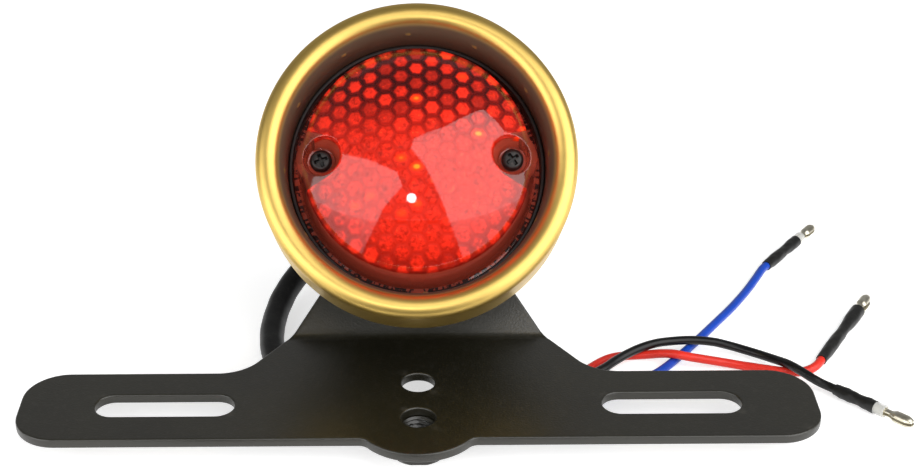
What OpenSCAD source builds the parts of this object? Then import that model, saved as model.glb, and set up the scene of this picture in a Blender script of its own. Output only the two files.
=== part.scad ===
// Round tail lamp on a number-plate bracket, with its loom and three leads.
// The origin is on the axis of the weld nut, at the nut's lower face.
// +X is to the right, +Y to the rear, +Z up, and the plate bar lies level.

/* [Bracket] */
// Length of the plate bar from end to end
bar_length = 200; // [185:1:230]
// Depth of the plate bar from front to rear
bar_depth = 30; // [27:0.5:36]
// How far the bar's front edge is ahead of the nut
bar_front = 9; // [7:0.5:11]
// Radius of the bar's four corners
bar_corner_r = 11; // [3:0.5:12]
// Thickness of the bracket sheet
sheet_t = 2.5; // [2:0.1:3]
// Distance between the centres of the two plate slots
slot_spacing = 127; // [118:1:134]
// Length of each plate slot from end to end
slot_length = 35; // [24:1:38]
// Width of each plate slot
slot_width = 9.5; // [6:0.5:11]
// Radius of the lug round the nut
lug_r = 16; // [13:0.5:18]
// Radius of the small fillets beside the lug
lug_fillet_r = 3; // [1:0.5:4]
// Diameter of the two holes in the lug
lug_hole_d = 8.5; // [6.5:0.1:9.5]
// Distance from the nut to the hole behind it
hole_spacing = 16; // [12:0.5:18]

/* [Neck] */
// Distance from the nut to the line where the neck bends up
bend_y = 38; // [36:0.5:44]
// Angle of the neck above the level bar, in degrees
neck_angle = 52; // [45:1:56]
// Inside radius of the bend
bend_r = 3; // [2:0.5:4]
// Half width of the neck where the bend begins
neck_half = 35.2; // [30:0.1:38]
// Narrowing of each neck edge, in degrees from straight
neck_taper = 33; // [28:1:36]
// Radius of the fillets between neck and bar
neck_fillet_r = 12; // [6:1:16]
// Radius of the round head that carries the lamp
head_r = 19; // [18:0.5:22]
// Distance up the neck from the bend to the lamp's axis
lamp_up = 39.6; // [39:0.2:48]

/* [Nut and mounting] */
// Width across flats of the weld nut
nut_flats = 14; // [13:0.5:16]
// Height of the weld nut, which holds the bar off the table
nut_h = 7; // [7:0.1:8]
// Diameter of the nut's threaded bore
nut_bore_d = 6.8; // [6:0.1:7]
// Chamfer on the nut's lower corners
nut_chamfer = 0.8; // [0.4:0.1:1]
// Thickness of the rubber pad behind the lamp
pad_t = 1.5; // [1:0.1:3]
// How far the pad's rim stays inside the neck's round head
pad_inset = 1; // [0.5:0.5:2]
// Distance of each mounting screw from the lamp's axis
mount_dx = 13; // [12.8:0.1:13.2]
// Diameter of the mounting screws
mount_screw_d = 4; // [3:0.1:4]
// Diameter of the mounting screws' heads
mount_head_d = 7.6; // [6.5:0.1:8]
// Height of the mounting screws' heads
mount_head_h = 2.6; // [2:0.1:3.2]
// How far each mounting screw stops short of its boss's open end
mount_screw_short = 1; // [0.5:0.5:2]
// Thickness of the flat washers
washer_t = 0.8; // [0.5:0.1:1]
// Diameter of the flat washers
washer_d = 8.6; // [8.4:0.1:9]
// Thickness of the spring washers
spring_washer_t = 1; // [0.8:0.1:1.2]
// Diameter of the spring washers
spring_washer_d = 7; // [6.4:0.1:7.6]
// Gap cut in each spring washer
spring_washer_gap = 1; // [0.6:0.1:1.4]

/* [Lamp body] */
// Outside radius of the lamp body
body_r = 35.7; // [35:0.1:36.5]
// Wall thickness of the lamp body
body_wall = 1.7; // [1.4:0.1:1.7]
// Thickness of the body's floor
floor_t = 2; // [1.6:0.1:2.4]
// Length of the body from its back to its open rim
body_len = 28.5; // [26:0.5:30]
// Radius of the body's rounded rear edge
body_edge_r = 8; // [4:0.5:9]
// Height of the bezel's ledge above the floor's outer face
ledge_h = 20.5; // [19:0.5:21]
// Thickness of the ledge that the bezel rests on
ledge_t = 2.5; // [1.5:0.1:3]
// How far the ledge reaches inward from the body's wall
ledge_reach = 3.5; // [3:0.1:3.7]
// Radius of the two bosses for the mounting screws
mount_boss_r = 3.8; // [3:0.1:4.2]
// Height of those bosses above the floor
mount_boss_h = 6; // [5:0.5:6.5]
// Radius of the bosses that hold the circuit board
board_boss_r = 2.6; // [2.2:0.1:3]
// Radius of the bosses for the two lens screws
lens_boss_r = 3.4; // [3:0.1:3.6]

/* [Bezel] */
// How far the bezel's widest edge stands outside its throat
bezel_reach = 7.3; // [7:0.1:8.5]
// Radius of the bezel's rounded front edge
roll_r = 3; // [2.6:0.1:3.4]
// How far the bezel's crest stands ahead of the ledge
bezel_depth = 21.5; // [20.5:0.5:23]
// Thickness of the bezel's metal
bezel_t = 1; // [0.8:0.1:1]
// Depth of the straight side behind the rounded edge
side_depth = 17.5; // [4:0.1:18]
// How far the flange that the lens clamps reaches inward from the throat
flange_reach = 2.8; // [2.4:0.1:3.2]
// Direction where the flare meets the rounded edge, in degrees
flare_angle = 20; // [15:1:24]

/* [Lens] */
// Thickness of the lens's foot
foot_t = 1.6; // [1.2:0.1:2]
// How far the lens's side stands inside the edge of its foot
side_step = 0.9; // [0.8:0.05:1.2]
// How far the lens's side draws in up to the front edge
side_draw = 2.5; // [2:0.1:2.8]
// Height of the lens's front edge above its foot
edge_h = 18; // [16.5:0.5:19]
// Radius of the lens's domed face
dome_r = 41; // [38:0.5:46]
// Wall thickness of the lens
lens_t = 2.2; // [1.8:0.1:2.6]
// How far each lens screw is inside the lens's side
screw_inset = 6.7; // [6.5:0.1:6.9]
// Radius of the column round each screw well
well_wall_r = 6.2; // [6.1:0.1:6.4]
// Radius of each well where it meets the dome
well_mouth_r = 4.9; // [4.6:0.1:5]
// Radius of each well at its floor
well_floor_r = 3.6; // [3.3:0.1:3.8]
// Height of the wells' floors above the lens's foot
well_floor_h = 14; // [12.5:0.5:14.5]
// Thickness of the rubber gasket under the lens
gasket_t = 1; // [0.8:0.1:1.4]
// Height of the gasket's lip round the lens
lip_h = 5; // [3:0.5:7]
// Thickness of the gasket's lip
lip_t = 1.2; // [0.8:0.05:1.3]
// Width of the small tab at the foot of the lens
tab_w = 4; // [3:0.2:5]
// Height of the tab
tab_h = 1.4; // [0.8:0.1:1.6]
// How far the tab stands out of the lens's foot
tab_out = 0.4; // [0.2:0.05:0.5]

/* [Lens screws] */
// Diameter of the lens screws
lens_screw_d = 3; // [2.5:0.1:3]
// Length of the lens screws under the head
lens_screw_len = 25; // [22:1:26]
// Diameter of the lens screws' heads
lens_head_d = 5.6; // [5:0.1:6]
// Height of the lens screws' heads
lens_head_h = 2; // [1.6:0.1:2.4]

/* [Light unit] */
// Gap between the circuit board's edge and the body's wall
board_gap = 8; // [7.5:0.1:8.5]
// Thickness of the circuit board
board_t = 1.6; // [1.2:0.1:1.6]
// Height of the board above the floor's outer face
board_h = 11; // [10.5:0.5:11.5]
// Radius of the circle of six outer light-emitting diodes
led_ring_r = 15.4; // [14.5:0.1:16]
// Diameter of each light-emitting diode
led_d = 5; // [4.6:0.1:5]
// Height of each light-emitting diode
led_h = 8.6; // [7:0.1:8.6]
// How far the rim of each light-emitting diode stands out
led_rim = 0.4; // [0.2:0.1:0.5]
// Height of that rim
led_rim_h = 1; // [0.8:0.1:1.4]
// How far the four board screws are inside the board's edge
board_screw_inset = 5; // [4.5:0.1:5.2]
// Diameter of the board screws
board_screw_d = 2; // [1.8:0.1:2.2]
// Length of the board screws under the head
board_screw_len = 7; // [6:0.5:8]
// Diameter of the board screws' heads
board_head_d = 3.8; // [3.4:0.1:4]
// Height of the board screws' heads
board_head_h = 1.4; // [1.2:0.1:1.6]
// Step between each hole in the reflector and its cup
cup_step = 0.3; // [0.2:0.1:0.6]
// Depth of each hole below its cup
cup_lip = 0.4; // [0.2:0.1:0.6]
// Height of the reflector's face above the board
reflector_h = 2.4; // [2:0.1:3]
// Thickness of the reflector round its cups
reflector_t = 2; // [1.5:0.1:2.2]
// Wall thickness of the reflector's skirt
skirt_t = 1.2; // [0.8:0.1:1.4]
// Length of each resistor's body
resistor_len = 7; // [5:0.5:8]
// Diameter of each resistor's body
resistor_d = 2.4; // [2:0.1:2.8]
// Distance of the inner rows of resistors from the lamp's axis
row_y = 11; // [10:0.5:12]
// Distance from an inner row to the outer row beside it
row_pitch = 4; // [3:0.5:5]

/* [Grommet and loom] */
// Radius of the grommet where it passes through the sheet
grommet_r = 5.8; // [5:0.1:6]
// Radius of the grommet's flanges
grommet_flange_r = 8; // [7.2:0.1:8.2]
// Thickness of the grommet's flanges
grommet_flange_t = 1.8; // [1.4:0.1:2.2]
// Radius of the grommet's bore
grommet_bore_r = 2.4; // [2.3:0.05:2.6]
// Diameter of the leads inside the lamp
lead_d = 1.8; // [1.4:0.1:1.8]
// Diameter of the loom sleeve
loom_d = 6.8; // [6.2:0.1:6.8]

/* [Wires and terminals] */
// Diameter of each wire
wire_d = 2.4; // [2:0.1:2.4]
// Diameter of the heat-shrink sleeves
shrink_d = 3.4; // [3.2:0.1:3.7]
// Diameter of the sleeves where they grip the wire and behind their heads
shrink_waist_d = 2.9; // [2.8:0.1:3.1]
// Diameter of the head on the blue and the black sleeve
shrink_head_d = 3.5; // [3.2:0.1:3.8]
// Diameter of the head on the red sleeve
red_head_d = 4; // [3.6:0.1:4.2]
// Length of the blue wire's heat-shrink sleeve
shrink_len_blue = 19; // [12:1:22]
// Length of the red wire's heat-shrink sleeve
shrink_len_red = 30; // [12:1:32]
// Length of the black wire's heat-shrink sleeve
shrink_len_black = 12; // [10:1:16]
// Diameter of the terminals' round barrels
barrel_d = 2.4; // [2:0.1:2.5]
// Length of the clear sleeves ahead of the heat-shrink
clear_len = 3; // [2:0.5:4]
// Diameter of the clear sleeves
clear_d = 3.3; // [3:0.1:3.6]
// Length of each terminal that stands out of its sleeves
bullet_len = 8; // [6.5:0.5:9]
// Diameter of the terminals' heads
bullet_d = 3.1; // [2.8:0.1:3.4]
// Diameter of the terminals' necks
bullet_neck_d = 2; // [1.8:0.1:2.2]
// Length of the terminals' necks
bullet_neck_len = 2.2; // [1.6:0.1:2.6]
// Length of the slope between neck and head
bullet_slope_len = 0.8; // [0.6:0.1:1.2]
// Length of the terminals' tapered noses
bullet_nose_len = 1.5; // [1:0.1:1.8]
// Diameter of the terminals' tips
bullet_tip_d = 1.6; // [1.4:0.1:1.8]
// Width of the split in each terminal
split_w = 0.7; // [0.5:0.1:0.9]
// How far each prong of the red wire's terminal is sprung out
prong_spread = 0.4; // [0.2:0.1:0.5]

/* [Fits] */
// Clearance round bolts and screws in the holes they pass through
bolt_clear = 0.4; // [0.2:0.05:0.5]
// Clearance round a screw's thread in its own boss
thread_clear = 0.05; // [0.02:0.01:0.1]
// Clearance between pieces that slide into each other
slip_clear = 0.2; // [0.1:0.05:0.3]
// Clearance between the bezel's throat and the body's wall
bezel_clear = 0.3; // [0.2:0.05:0.4]

/* [Hidden] */
$fn = 64;
// How far a cutting shape runs past what it cuts
cut = 1;
// How far joined stretches of one piece run into each other
lap = 0.05;
// Share of a screw head's height that has a straight side
head_side = 0.55;
// Width of a screw head's flat top, as a share of the head
head_top = 0.7;
// Length and depth of a driver's recess, as a share of the head
recess_share = 0.6;
// Width of each arm of the recess, as a share of its length
recess_arm = 0.25;

// Heights and places of the bracket
plate_top = nut_h + sheet_t;
bar_rear = bar_depth - bar_front;
bar_mid = (bar_rear - bar_front) / 2;
bend_leg = bend_r * tan(neck_angle / 2);
bend_start = bend_y - bend_leg;
taper = tan(neck_taper);
// Length of sheet in the bend, along its middle, and the neck's half width past it
bend_len = neck_angle * PI / 180 * (bend_r + sheet_t / 2);
neck_end = neck_half - taper * bend_len;

// Radii of the body, bezel, lens and board, each from the one outside it
bore_r = body_r - body_wall;
ledge_r = bore_r - ledge_reach;
throat_r = bore_r - bezel_clear - bezel_t;
bezel_r = throat_r + bezel_reach;
flange_r = throat_r - flange_reach;
lens_r = throat_r - lip_t - 2 * thread_clear;
side_r = lens_r - side_step;
edge_r = side_r - side_draw;
lens_screw_x = side_r - screw_inset;
board_r = bore_r - board_gap;
board_screw_ring = board_r - board_screw_inset;

// Places along the lamp's own axis, from the front face of the neck
floor_back = pad_t;
floor_front = floor_back + floor_t;
ledge_w = floor_back + ledge_h;
board_w = floor_back + board_h;
board_front = board_w + board_t;
gasket_w = ledge_w + bezel_t;
lens_w = gasket_w + gasket_t;
edge_w = lens_w + edge_h;
well_floor_w = lens_w + well_floor_h;
dome_w = edge_w - sqrt(pow(dome_r, 2) - pow(edge_r, 2));

// Centres of the bezel's two arcs and the radius of its flare
roll_x = bezel_r - roll_r;
roll_w = ledge_w + bezel_depth - roll_r;
flare_r = (roll_x - roll_r * cos(flare_angle) - throat_r) / (1 - cos(flare_angle));
flare_x = throat_r + flare_r;
flare_w = roll_w - (flare_r - roll_r) * sin(flare_angle);

// The loom's route, then each wire's: points along the middle of the cord
loom_back = grommet_flange_t + sheet_t;
loom_route = [
    lamp_point(loom_back), lamp_point(loom_back + 6), lamp_point(loom_back + 11),
    [-1, 79.6, 28.4], [-5, 85.4, 23.4], [-11.6, 89, 18.4], [-19.4, 89.2, 14],
    [-27, 85.4, 10.4], [-33, 78.8, 7.4], [-37.2, 70, 5.2], [-39.4, 59.6, 3.8],
    [-39.8, 48.6, 3.4], [-38, 37.6, 3.4], [-32.8, 27.4, 3.4], [-24.4, 19.8, 3.4],
    [-14, 15.6, 3.4], [-2.6, 14, 3.4], [8, 14, 3.4], [18, 14, 3.4]
];
loom_end = loom_route[len(loom_route) - 1];
wire_blue_route = [
    loom_end + [0, -1.4, -0.8], [23, 12.6, 2.6], [28.4, 13.2, 1.8], [34.4, 14.8, 1.3],
    [40.6, 17.4, 1.2], [47, 21.2, 1.2], [53, 25.2, 1.2], [58.2, 28.6, 1.2],
    [62.8, 31.9, 1.2], [66, 35.2, 1.2], [69.4, 39.4, 1.2], [73.3, 44.6, 1.2],
    [79, 52.6, 1.2], [84, 59.8, 1.2], [88.4, 66.2, 1.2], [91.9, 71.8, 1.2],
    [95.1, 77.2, 1.3], [98.2, 82.7, 1.6], [100.7, 87.3, 1.9], [102.3, 89.4, 1.9]
];
wire_red_route = [
    loom_end + [0, 1.4, -0.8], [22.6, 15.4, 2.6], [27, 17.6, 1.9], [31.8, 21, 1.4],
    [36.6, 25.4, 1.2], [41.6, 30.6, 1.2], [46.2, 35.4, 1.2], [49.8, 38.8, 1.2],
    [53.2, 40.7, 1.2], [57.6, 41.4, 1.2], [61.8, 41.2, 1.6], [65.4, 39.7, 2.8],
    [68.8, 38, 3.7], [72.2, 37.1, 3.4], [77.2, 36.8, 2.6], [82.4, 36.6, 1.7],
    [87.4, 35.7, 1.2], [91.6, 34.4, 1.2], [96.3, 33.1, 1.2], [100.1, 32.6, 1.2],
    [102.5, 32.8, 1.3], [104.6, 33.5, 1.6], [106.2, 34.7, 1.9], [107.3, 36.1, 2.1],
    [107.9, 37.1, 2.1]
];
wire_black_route = [
    loom_end + [0, 0, 1.6], [22.6, 14, 5], [27.2, 15.6, 4.9], [32, 18.8, 4.3],
    [37, 22.6, 3.6], [43, 27.2, 3], [48.7, 31.7, 3], [52.5, 35.5, 3.2],
    [56.2, 38.5, 3.6], [60.1, 40.9, 4], [64.2, 42.9, 4.1], [68.2, 44.2, 3.9],
    [73.6, 44.9, 3.8], [79.6, 44.7, 3.4], [84, 43.9, 2.7], [88, 42.6, 2.1],
    [92, 40.2, 2], [95.4, 36.7, 2.6], [98.1, 32.6, 3.7], [100.7, 29.1, 3.8],
    [103.3, 26.7, 3.1], [105.6, 25.4, 2.3], [107.5, 24.3, 1.9], [108.8, 23, 1.9]
];

// Sides of the loom's and the wires' tubes
loom_sides = 12;
wire_sides = 8;

// The point at a depth behind the neck's front face, on the lamp's axis
function lamp_point(depth) = [
    0,
    bend_y + lamp_up * cos(neck_angle) + depth * sin(neck_angle),
    plate_top + lamp_up * sin(neck_angle) - depth * cos(neck_angle)
];

function unit(v) = v / norm(v);

// Direction of a route at point i: the mean of the two stretches beside it
function heading(p, i) =
    i == 0 ? unit(p[1] - p[0])
    : i == len(p) - 1 ? unit(p[i] - p[i - 1])
    : unit(unit(p[i + 1] - p[i]) + unit(p[i] - p[i - 1]));

// Cross direction at point i, carried along the route so the tube never twists
function side_at(p, i) =
    i == 0 ? unit(cross(heading(p, 0), [0, 0, 1]))
    : let (s = side_at(p, i - 1), h = heading(p, i)) unit(s - h * (s * h));

// Rings of n points round a route
function ring_points(p, r, n) = [
    for (i = [0 : len(p) - 1])
        let (h = heading(p, i), s = side_at(p, i), u = cross(s, h))
            for (k = [0 : n - 1])
                let (a = 360 * (k + 0.5) / n) p[i] + r * (cos(a) * s + sin(a) * u)
];

// Side faces as triangles, then the two flat ends
function tube_faces(m, n) = concat(
    [for (i = [0 : m - 2]) for (k = [0 : n - 1])
        [i * n + k, i * n + (k + 1) % n, (i + 1) * n + k]],
    [for (i = [0 : m - 2]) for (k = [0 : n - 1])
        [i * n + (k + 1) % n, (i + 1) * n + (k + 1) % n, (i + 1) * n + k]],
    [[for (k = [n - 1 : -1 : 0]) k]],
    [[for (k = [0 : n - 1]) (m - 1) * n + k]]
);

module tube(route, d, sides) {
    polyhedron(
        points = ring_points(route, d / 2, sides),
        faces = tube_faces(len(route), sides),
        convexity = 8
    );
}

// Puts what follows on the lamp's axis, with +Z along the light
module on_lamp() {
    translate([0, bend_y, plate_top])
        rotate([neck_angle, 0, 0])
            translate([0, lamp_up, 0])
                children();
}

module ring(outer_r, inner_r, h) {
    difference() {
        cylinder(r = outer_r, h = h);
        translate([0, 0, -cut]) cylinder(r = inner_r, h = h + 2 * cut);
    }
}

module both_sides(x) {
    for (s = [-1, 1]) translate([s * x, 0, 0]) children();
}

module at_board_screws() {
    for (a = [60, 120, 240, 300])
        rotate([0, 0, a]) translate([board_screw_ring, 0, 0]) children();
}

module at_leds() {
    children();
    for (a = [30 : 60 : 330])
        rotate([0, 0, a]) translate([led_ring_r, 0, 0]) children();
}

module slot_shape(length, width) {
    both_sides((length - width) / 2) circle(d = width);
    square([length - width, width], center = true);
}

// Fills the corner between the lug and the bar's front edge
module lug_fillet() {
    reach = lug_r + lug_fillet_r;
    drop = bar_front + lug_fillet_r;
    x = sqrt(pow(reach, 2) - pow(drop, 2));
    corner = [sqrt(pow(lug_r, 2) - pow(bar_front, 2)), -bar_front];
    touch = [x, -drop] * lug_r / reach;
    difference() {
        polygon([corner, touch, [x, -drop], [x, -bar_front]]);
        translate([x, -drop]) circle(r = lug_fillet_r);
    }
}

// Fills the corner between the neck's edge and the bar's rear edge
module neck_fillet() {
    corner = [neck_half + taper * (bend_start - bar_rear), bar_rear];
    run = neck_fillet_r / tan((90 + neck_taper) / 2);
    middle = corner + [run, neck_fillet_r];
    touch = corner + run * [-sin(neck_taper), cos(neck_taper)];
    difference() {
        polygon([corner, corner + [run, 0], middle, touch]);
        translate(middle) circle(r = neck_fillet_r);
    }
}

module bar_shape() {
    x = bar_length / 2 - bar_corner_r;
    y = bar_depth / 2 - bar_corner_r;
    translate([0, bar_mid]) {
        for (sx = [-1, 1]) for (sy = [-1, 1])
            translate([sx * x, sy * y]) circle(r = bar_corner_r);
        square([2 * x, bar_depth], center = true);
        square([bar_length, 2 * y], center = true);
    }
    circle(r = lug_r);
    for (m = [0, 1]) mirror([m, 0]) {
        lug_fillet();
        neck_fillet();
    }
    near = neck_half + taper * (bend_start - bar_mid);
    polygon([[-near, bar_mid], [near, bar_mid], [neck_half, bend_start], [-neck_half, bend_start]]);
}

// The neck above the bend, drawn flat with the bend line at y = 0; its edges are
// carried on below the bend, wider than the sheet
module head_shape() {
    low = bend_leg - cut;
    wide = neck_end + taper * cut;
    straight = bend_leg + (neck_end - head_r) / taper;
    polygon([
        [-wide, low], [wide, low], [head_r, straight],
        [head_r, lamp_up], [-head_r, lamp_up], [-head_r, straight]
    ]);
    translate([0, lamp_up]) circle(r = head_r);
}

// Points along an arc in n equal steps
function arc(x, y, r, from, to, n) = [
    for (i = [0 : n]) let (a = from + (to - from) * i / n) [x + r * cos(a), y + r * sin(a)]
];

// Number of flat steps round the bend
bend_steps = 10;

// The bent sheet seen from its side, from the bar to past the top of the neck
module side_profile() {
    start = bend_start - bend_leg;
    low = -90;
    high = neck_angle - 90;
    centre = plate_top + bend_r;
    up = lamp_up + head_r + cut;
    top = [bend_y + up * cos(neck_angle), plate_top + up * sin(neck_angle)];
    polygon(concat(
        [[start, plate_top], [start, nut_h]],
        arc(bend_start, centre, bend_r + sheet_t, low, high, bend_steps),
        [top + sheet_t * [sin(neck_angle), -cos(neck_angle)], top],
        arc(bend_start, centre, bend_r, high, low, bend_steps)
    ));
}

// What is cut from one side of the bend, so that the edge keeps the taper it has on
// the flat sheet: rings of four points, each a step further round the bend
module bend_cut() {
    points = [
        for (i = [-1 : bend_steps])
            let (x = neck_half - taper * bend_len * i / bend_steps, a = neck_angle * i / bend_steps)
                for (p = [
                    [x, bend_r - cut], [x, bend_r + sheet_t + cut],
                    [2 * neck_half, bend_r + sheet_t + cut], [2 * neck_half, bend_r - cut]
                ]) [p[0], p[1] * sin(a), -p[1] * cos(a)]
    ];
    translate([0, bend_start, plate_top + bend_r])
        polyhedron(points = points, faces = tube_faces(bend_steps + 2, 4), convexity = 4);
}

// What is cut from the full-width neck: all beside the head, and its three holes
module neck_cuts() {
    from = bend_leg - lap;
    reach = lamp_up + head_r + 2 * cut - from;
    deep = sheet_t + 2 * cut;
    translate([0, bend_y, plate_top])
        rotate([neck_angle, 0, 0])
            translate([0, 0, -sheet_t - cut]) {
                difference() {
                    translate([-2 * neck_half, from, 0]) cube([4 * neck_half, reach, deep]);
                    translate([0, 0, -cut]) linear_extrude(deep + 2 * cut) head_shape();
                }
                translate([0, lamp_up, 0]) {
                    cylinder(r = grommet_r + slip_clear, h = deep);
                    both_sides(mount_dx) cylinder(d = mount_screw_d + bolt_clear, h = deep);
                }
            }
}

module mounting_bracket() {
    color([0.13, 0.13, 0.12])
        difference() {
            union() {
                translate([0, 0, nut_h]) linear_extrude(sheet_t) bar_shape();
                rotate([90, 0, 90])
                    translate([0, 0, -neck_half]) linear_extrude(2 * neck_half) side_profile();
            }
            translate([0, 0, nut_h - cut])
                linear_extrude(sheet_t + 2 * cut) {
                    translate([0, bar_mid])
                        both_sides(slot_spacing / 2) slot_shape(slot_length, slot_width);
                    circle(d = lug_hole_d);
                    translate([0, hole_spacing]) circle(d = lug_hole_d);
                }
            neck_cuts();
            for (m = [0, 1]) mirror([m, 0, 0]) bend_cut();
        }
}

module weld_nut() {
    corner_r = nut_flats / 2 / cos(30);
    color([0.16, 0.16, 0.15])
        difference() {
            intersection() {
                cylinder(r = corner_r, h = nut_h, $fn = 6);
                union() {
                    cylinder(r1 = corner_r - nut_chamfer, r2 = corner_r, h = nut_chamfer);
                    translate([0, 0, nut_chamfer]) cylinder(r = corner_r, h = nut_h);
                }
            }
            translate([0, 0, -cut]) cylinder(d = nut_bore_d, h = nut_h + 2 * cut);
        }
}

module mounting_pad() {
    color([0.08, 0.08, 0.08])
        on_lamp() difference() {
            cylinder(r = head_r - pad_inset, h = pad_t);
            translate([0, 0, -cut]) {
                cylinder(r = grommet_r + slip_clear, h = pad_t + 2 * cut);
                both_sides(mount_dx) cylinder(d = mount_screw_d + bolt_clear, h = pad_t + 2 * cut);
            }
        }
}

// Half section of the cup's outside, with its rounded rear edge
module body_outline() {
    square([body_r - body_edge_r, body_len]);
    translate([0, body_edge_r]) square([body_r, body_len - body_edge_r]);
    translate([body_r - body_edge_r, body_edge_r])
        intersection() {
            circle(r = body_edge_r);
            translate([0, -body_edge_r]) square(body_edge_r);
        }
}

// Half section of the room inside the cup, up to the ledge and above it
module body_room() {
    inner_edge = body_edge_r - body_wall;
    top = ledge_h - ledge_t;
    corner_w = max(body_edge_r, floor_t + inner_edge);
    translate([0, floor_t]) square([bore_r - inner_edge, top - floor_t]);
    translate([0, corner_w]) square([bore_r, top - corner_w]);
    intersection() {
        translate([bore_r - inner_edge, corner_w]) circle(r = inner_edge);
        translate([bore_r - inner_edge, floor_t]) square([inner_edge, inner_edge]);
    }
    square_up = body_len - ledge_h + cut;
    translate([0, top - cut]) square([ledge_r, ledge_t + 2 * cut]);
    translate([0, ledge_h]) square([bore_r, square_up]);
}

module lamp_body() {
    color([0.1, 0.1, 0.1])
        on_lamp() difference() {
            union() {
                translate([0, 0, floor_back])
                    rotate_extrude() difference() {
                        body_outline();
                        body_room();
                    }
                translate([0, 0, floor_front - slip_clear]) {
                    both_sides(mount_dx) cylinder(r = mount_boss_r, h = mount_boss_h + slip_clear);
                    both_sides(lens_screw_x)
                        cylinder(r = lens_boss_r, h = ledge_w - floor_front + slip_clear);
                    at_board_screws()
                        cylinder(r = board_boss_r, h = board_w - floor_front + slip_clear);
                }
            }
            cylinder(r = grommet_r + slip_clear, h = floor_front + cut);
            both_sides(mount_dx)
                cylinder(d = mount_screw_d + 2 * thread_clear, h = floor_front + mount_boss_h + cut);
            translate([0, 0, floor_front])
                both_sides(lens_screw_x)
                    cylinder(d = lens_screw_d + 2 * thread_clear, h = ledge_w);
            translate([0, 0, floor_front])
                at_board_screws() cylinder(d = board_screw_d + 2 * thread_clear, h = board_w);
        }
}

// Cross-shaped recess for a screwdriver, cut down from z = 0
module cross_recess(size, depth) {
    for (a = [0, 90])
        rotate([0, 0, a])
            translate([-size / 2, -size * recess_arm / 2, -depth])
                cube([size, size * recess_arm, depth + cut]);
}

// A pan-headed screw pointing down, with the head's underside at z = 0
module pan_screw(d, length, head_d, head_h) {
    difference() {
        union() {
            translate([0, 0, -length]) cylinder(d = d, h = length);
            cylinder(d = head_d, h = head_h * head_side);
            translate([0, 0, head_h * head_side])
                cylinder(d1 = head_d, d2 = head_d * head_top, h = head_h * (1 - head_side));
        }
        translate([0, 0, head_h]) cross_recess(head_d * recess_share, head_h * recess_share);
    }
}

module mounting_screws() {
    stack = sheet_t + washer_t + spring_washer_t;
    length = stack + floor_front + mount_boss_h - mount_screw_short;
    color([0.12, 0.12, 0.12])
        on_lamp() both_sides(mount_dx)
            translate([0, 0, -stack])
                mirror([0, 0, 1]) pan_screw(mount_screw_d, length, mount_head_d, mount_head_h);
}

module flat_washers() {
    color([0.72, 0.72, 0.7])
        on_lamp() both_sides(mount_dx)
            translate([0, 0, -sheet_t - washer_t])
                ring(washer_d / 2, (mount_screw_d + bolt_clear) / 2, washer_t);
}

module spring_washers() {
    color([0.6, 0.6, 0.58])
        on_lamp() both_sides(mount_dx)
            translate([0, 0, -sheet_t - washer_t - spring_washer_t])
                difference() {
                    ring(spring_washer_d / 2, (mount_screw_d + bolt_clear) / 2, spring_washer_t);
                    translate([0, -spring_washer_gap / 2, -cut])
                        cube([spring_washer_d, spring_washer_gap, spring_washer_t + 2 * cut]);
                }
}

module cable_grommet() {
    color([0.06, 0.06, 0.06])
        on_lamp() difference() {
            union() {
                translate([0, 0, -sheet_t - grommet_flange_t])
                    cylinder(r = grommet_flange_r, h = grommet_flange_t);
                translate([0, 0, -sheet_t]) cylinder(r = grommet_r, h = sheet_t + floor_front);
                translate([0, 0, floor_front])
                    cylinder(r1 = grommet_flange_r, r2 = grommet_r, h = grommet_flange_t);
            }
            translate([0, 0, -sheet_t - grommet_flange_t - cut])
                cylinder(r = grommet_bore_r, h = sheet_t + floor_front + 2 * grommet_flange_t + 2 * cut);
        }
}

module circuit_board() {
    color([0.1, 0.32, 0.16])
        on_lamp() translate([0, 0, board_w])
            difference() {
                cylinder(r = board_r, h = board_t);
                translate([0, 0, -cut]) {
                    both_sides(lens_screw_x)
                        cylinder(r = lens_boss_r + bolt_clear, h = board_t + 2 * cut);
                    at_board_screws()
                        cylinder(d = board_screw_d + bolt_clear, h = board_t + 2 * cut);
                }
            }
}

module board_screws() {
    color([0.75, 0.75, 0.73])
        on_lamp() translate([0, 0, board_front])
            at_board_screws()
                pan_screw(board_screw_d, board_screw_len, board_head_d, board_head_h);
}

module led_emitters() {
    color([0.95, 0.85, 0.45])
        on_lamp() translate([0, 0, board_front])
            at_leds() {
                cylinder(d = led_d + 2 * led_rim, h = led_rim_h);
                cylinder(d = led_d, h = led_h - led_d / 2);
                translate([0, 0, led_h - led_d / 2]) sphere(d = led_d);
            }
}

// One row on the underside of the board, at a height y across it
module board_part(y) {
    on_lamp() translate([-resistor_len / 2, y, board_w - resistor_d / 2])
        rotate([0, 90, 0]) cylinder(d = resistor_d, h = resistor_len);
}

module resistors() {
    color([0.78, 0.66, 0.48])
        for (y = [-row_y - row_pitch, -row_y, row_y]) board_part(y);
}

module polarity_diode() {
    color([0.12, 0.12, 0.13]) board_part(row_y + row_pitch);
}

module led_reflector() {
    hole_r = led_d / 2 + bolt_clear;
    cup_r = hole_r + cup_step;
    top = reflector_h + reflector_t;
    color([0.85, 0.85, 0.86])
        on_lamp() translate([0, 0, board_front])
            difference() {
                cylinder(r = board_r - slip_clear, h = top);
                translate([0, 0, -cut])
                    cylinder(r = board_r - slip_clear - skirt_t, h = reflector_h + cut);
                at_leds() {
                    translate([0, 0, reflector_h - cut]) cylinder(r = hole_r, h = reflector_t);
                    translate([0, 0, reflector_h + cup_lip])
                        cylinder(r1 = cup_r, r2 = cup_r + reflector_t, h = reflector_t);
                }
                translate([0, 0, -cut]) {
                    both_sides(lens_screw_x) cylinder(r = lens_boss_r + bolt_clear, h = top + 2 * cut);
                    at_board_screws() cylinder(d = board_head_d + 2 * bolt_clear, h = top + 2 * cut);
                }
            }
}

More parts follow.
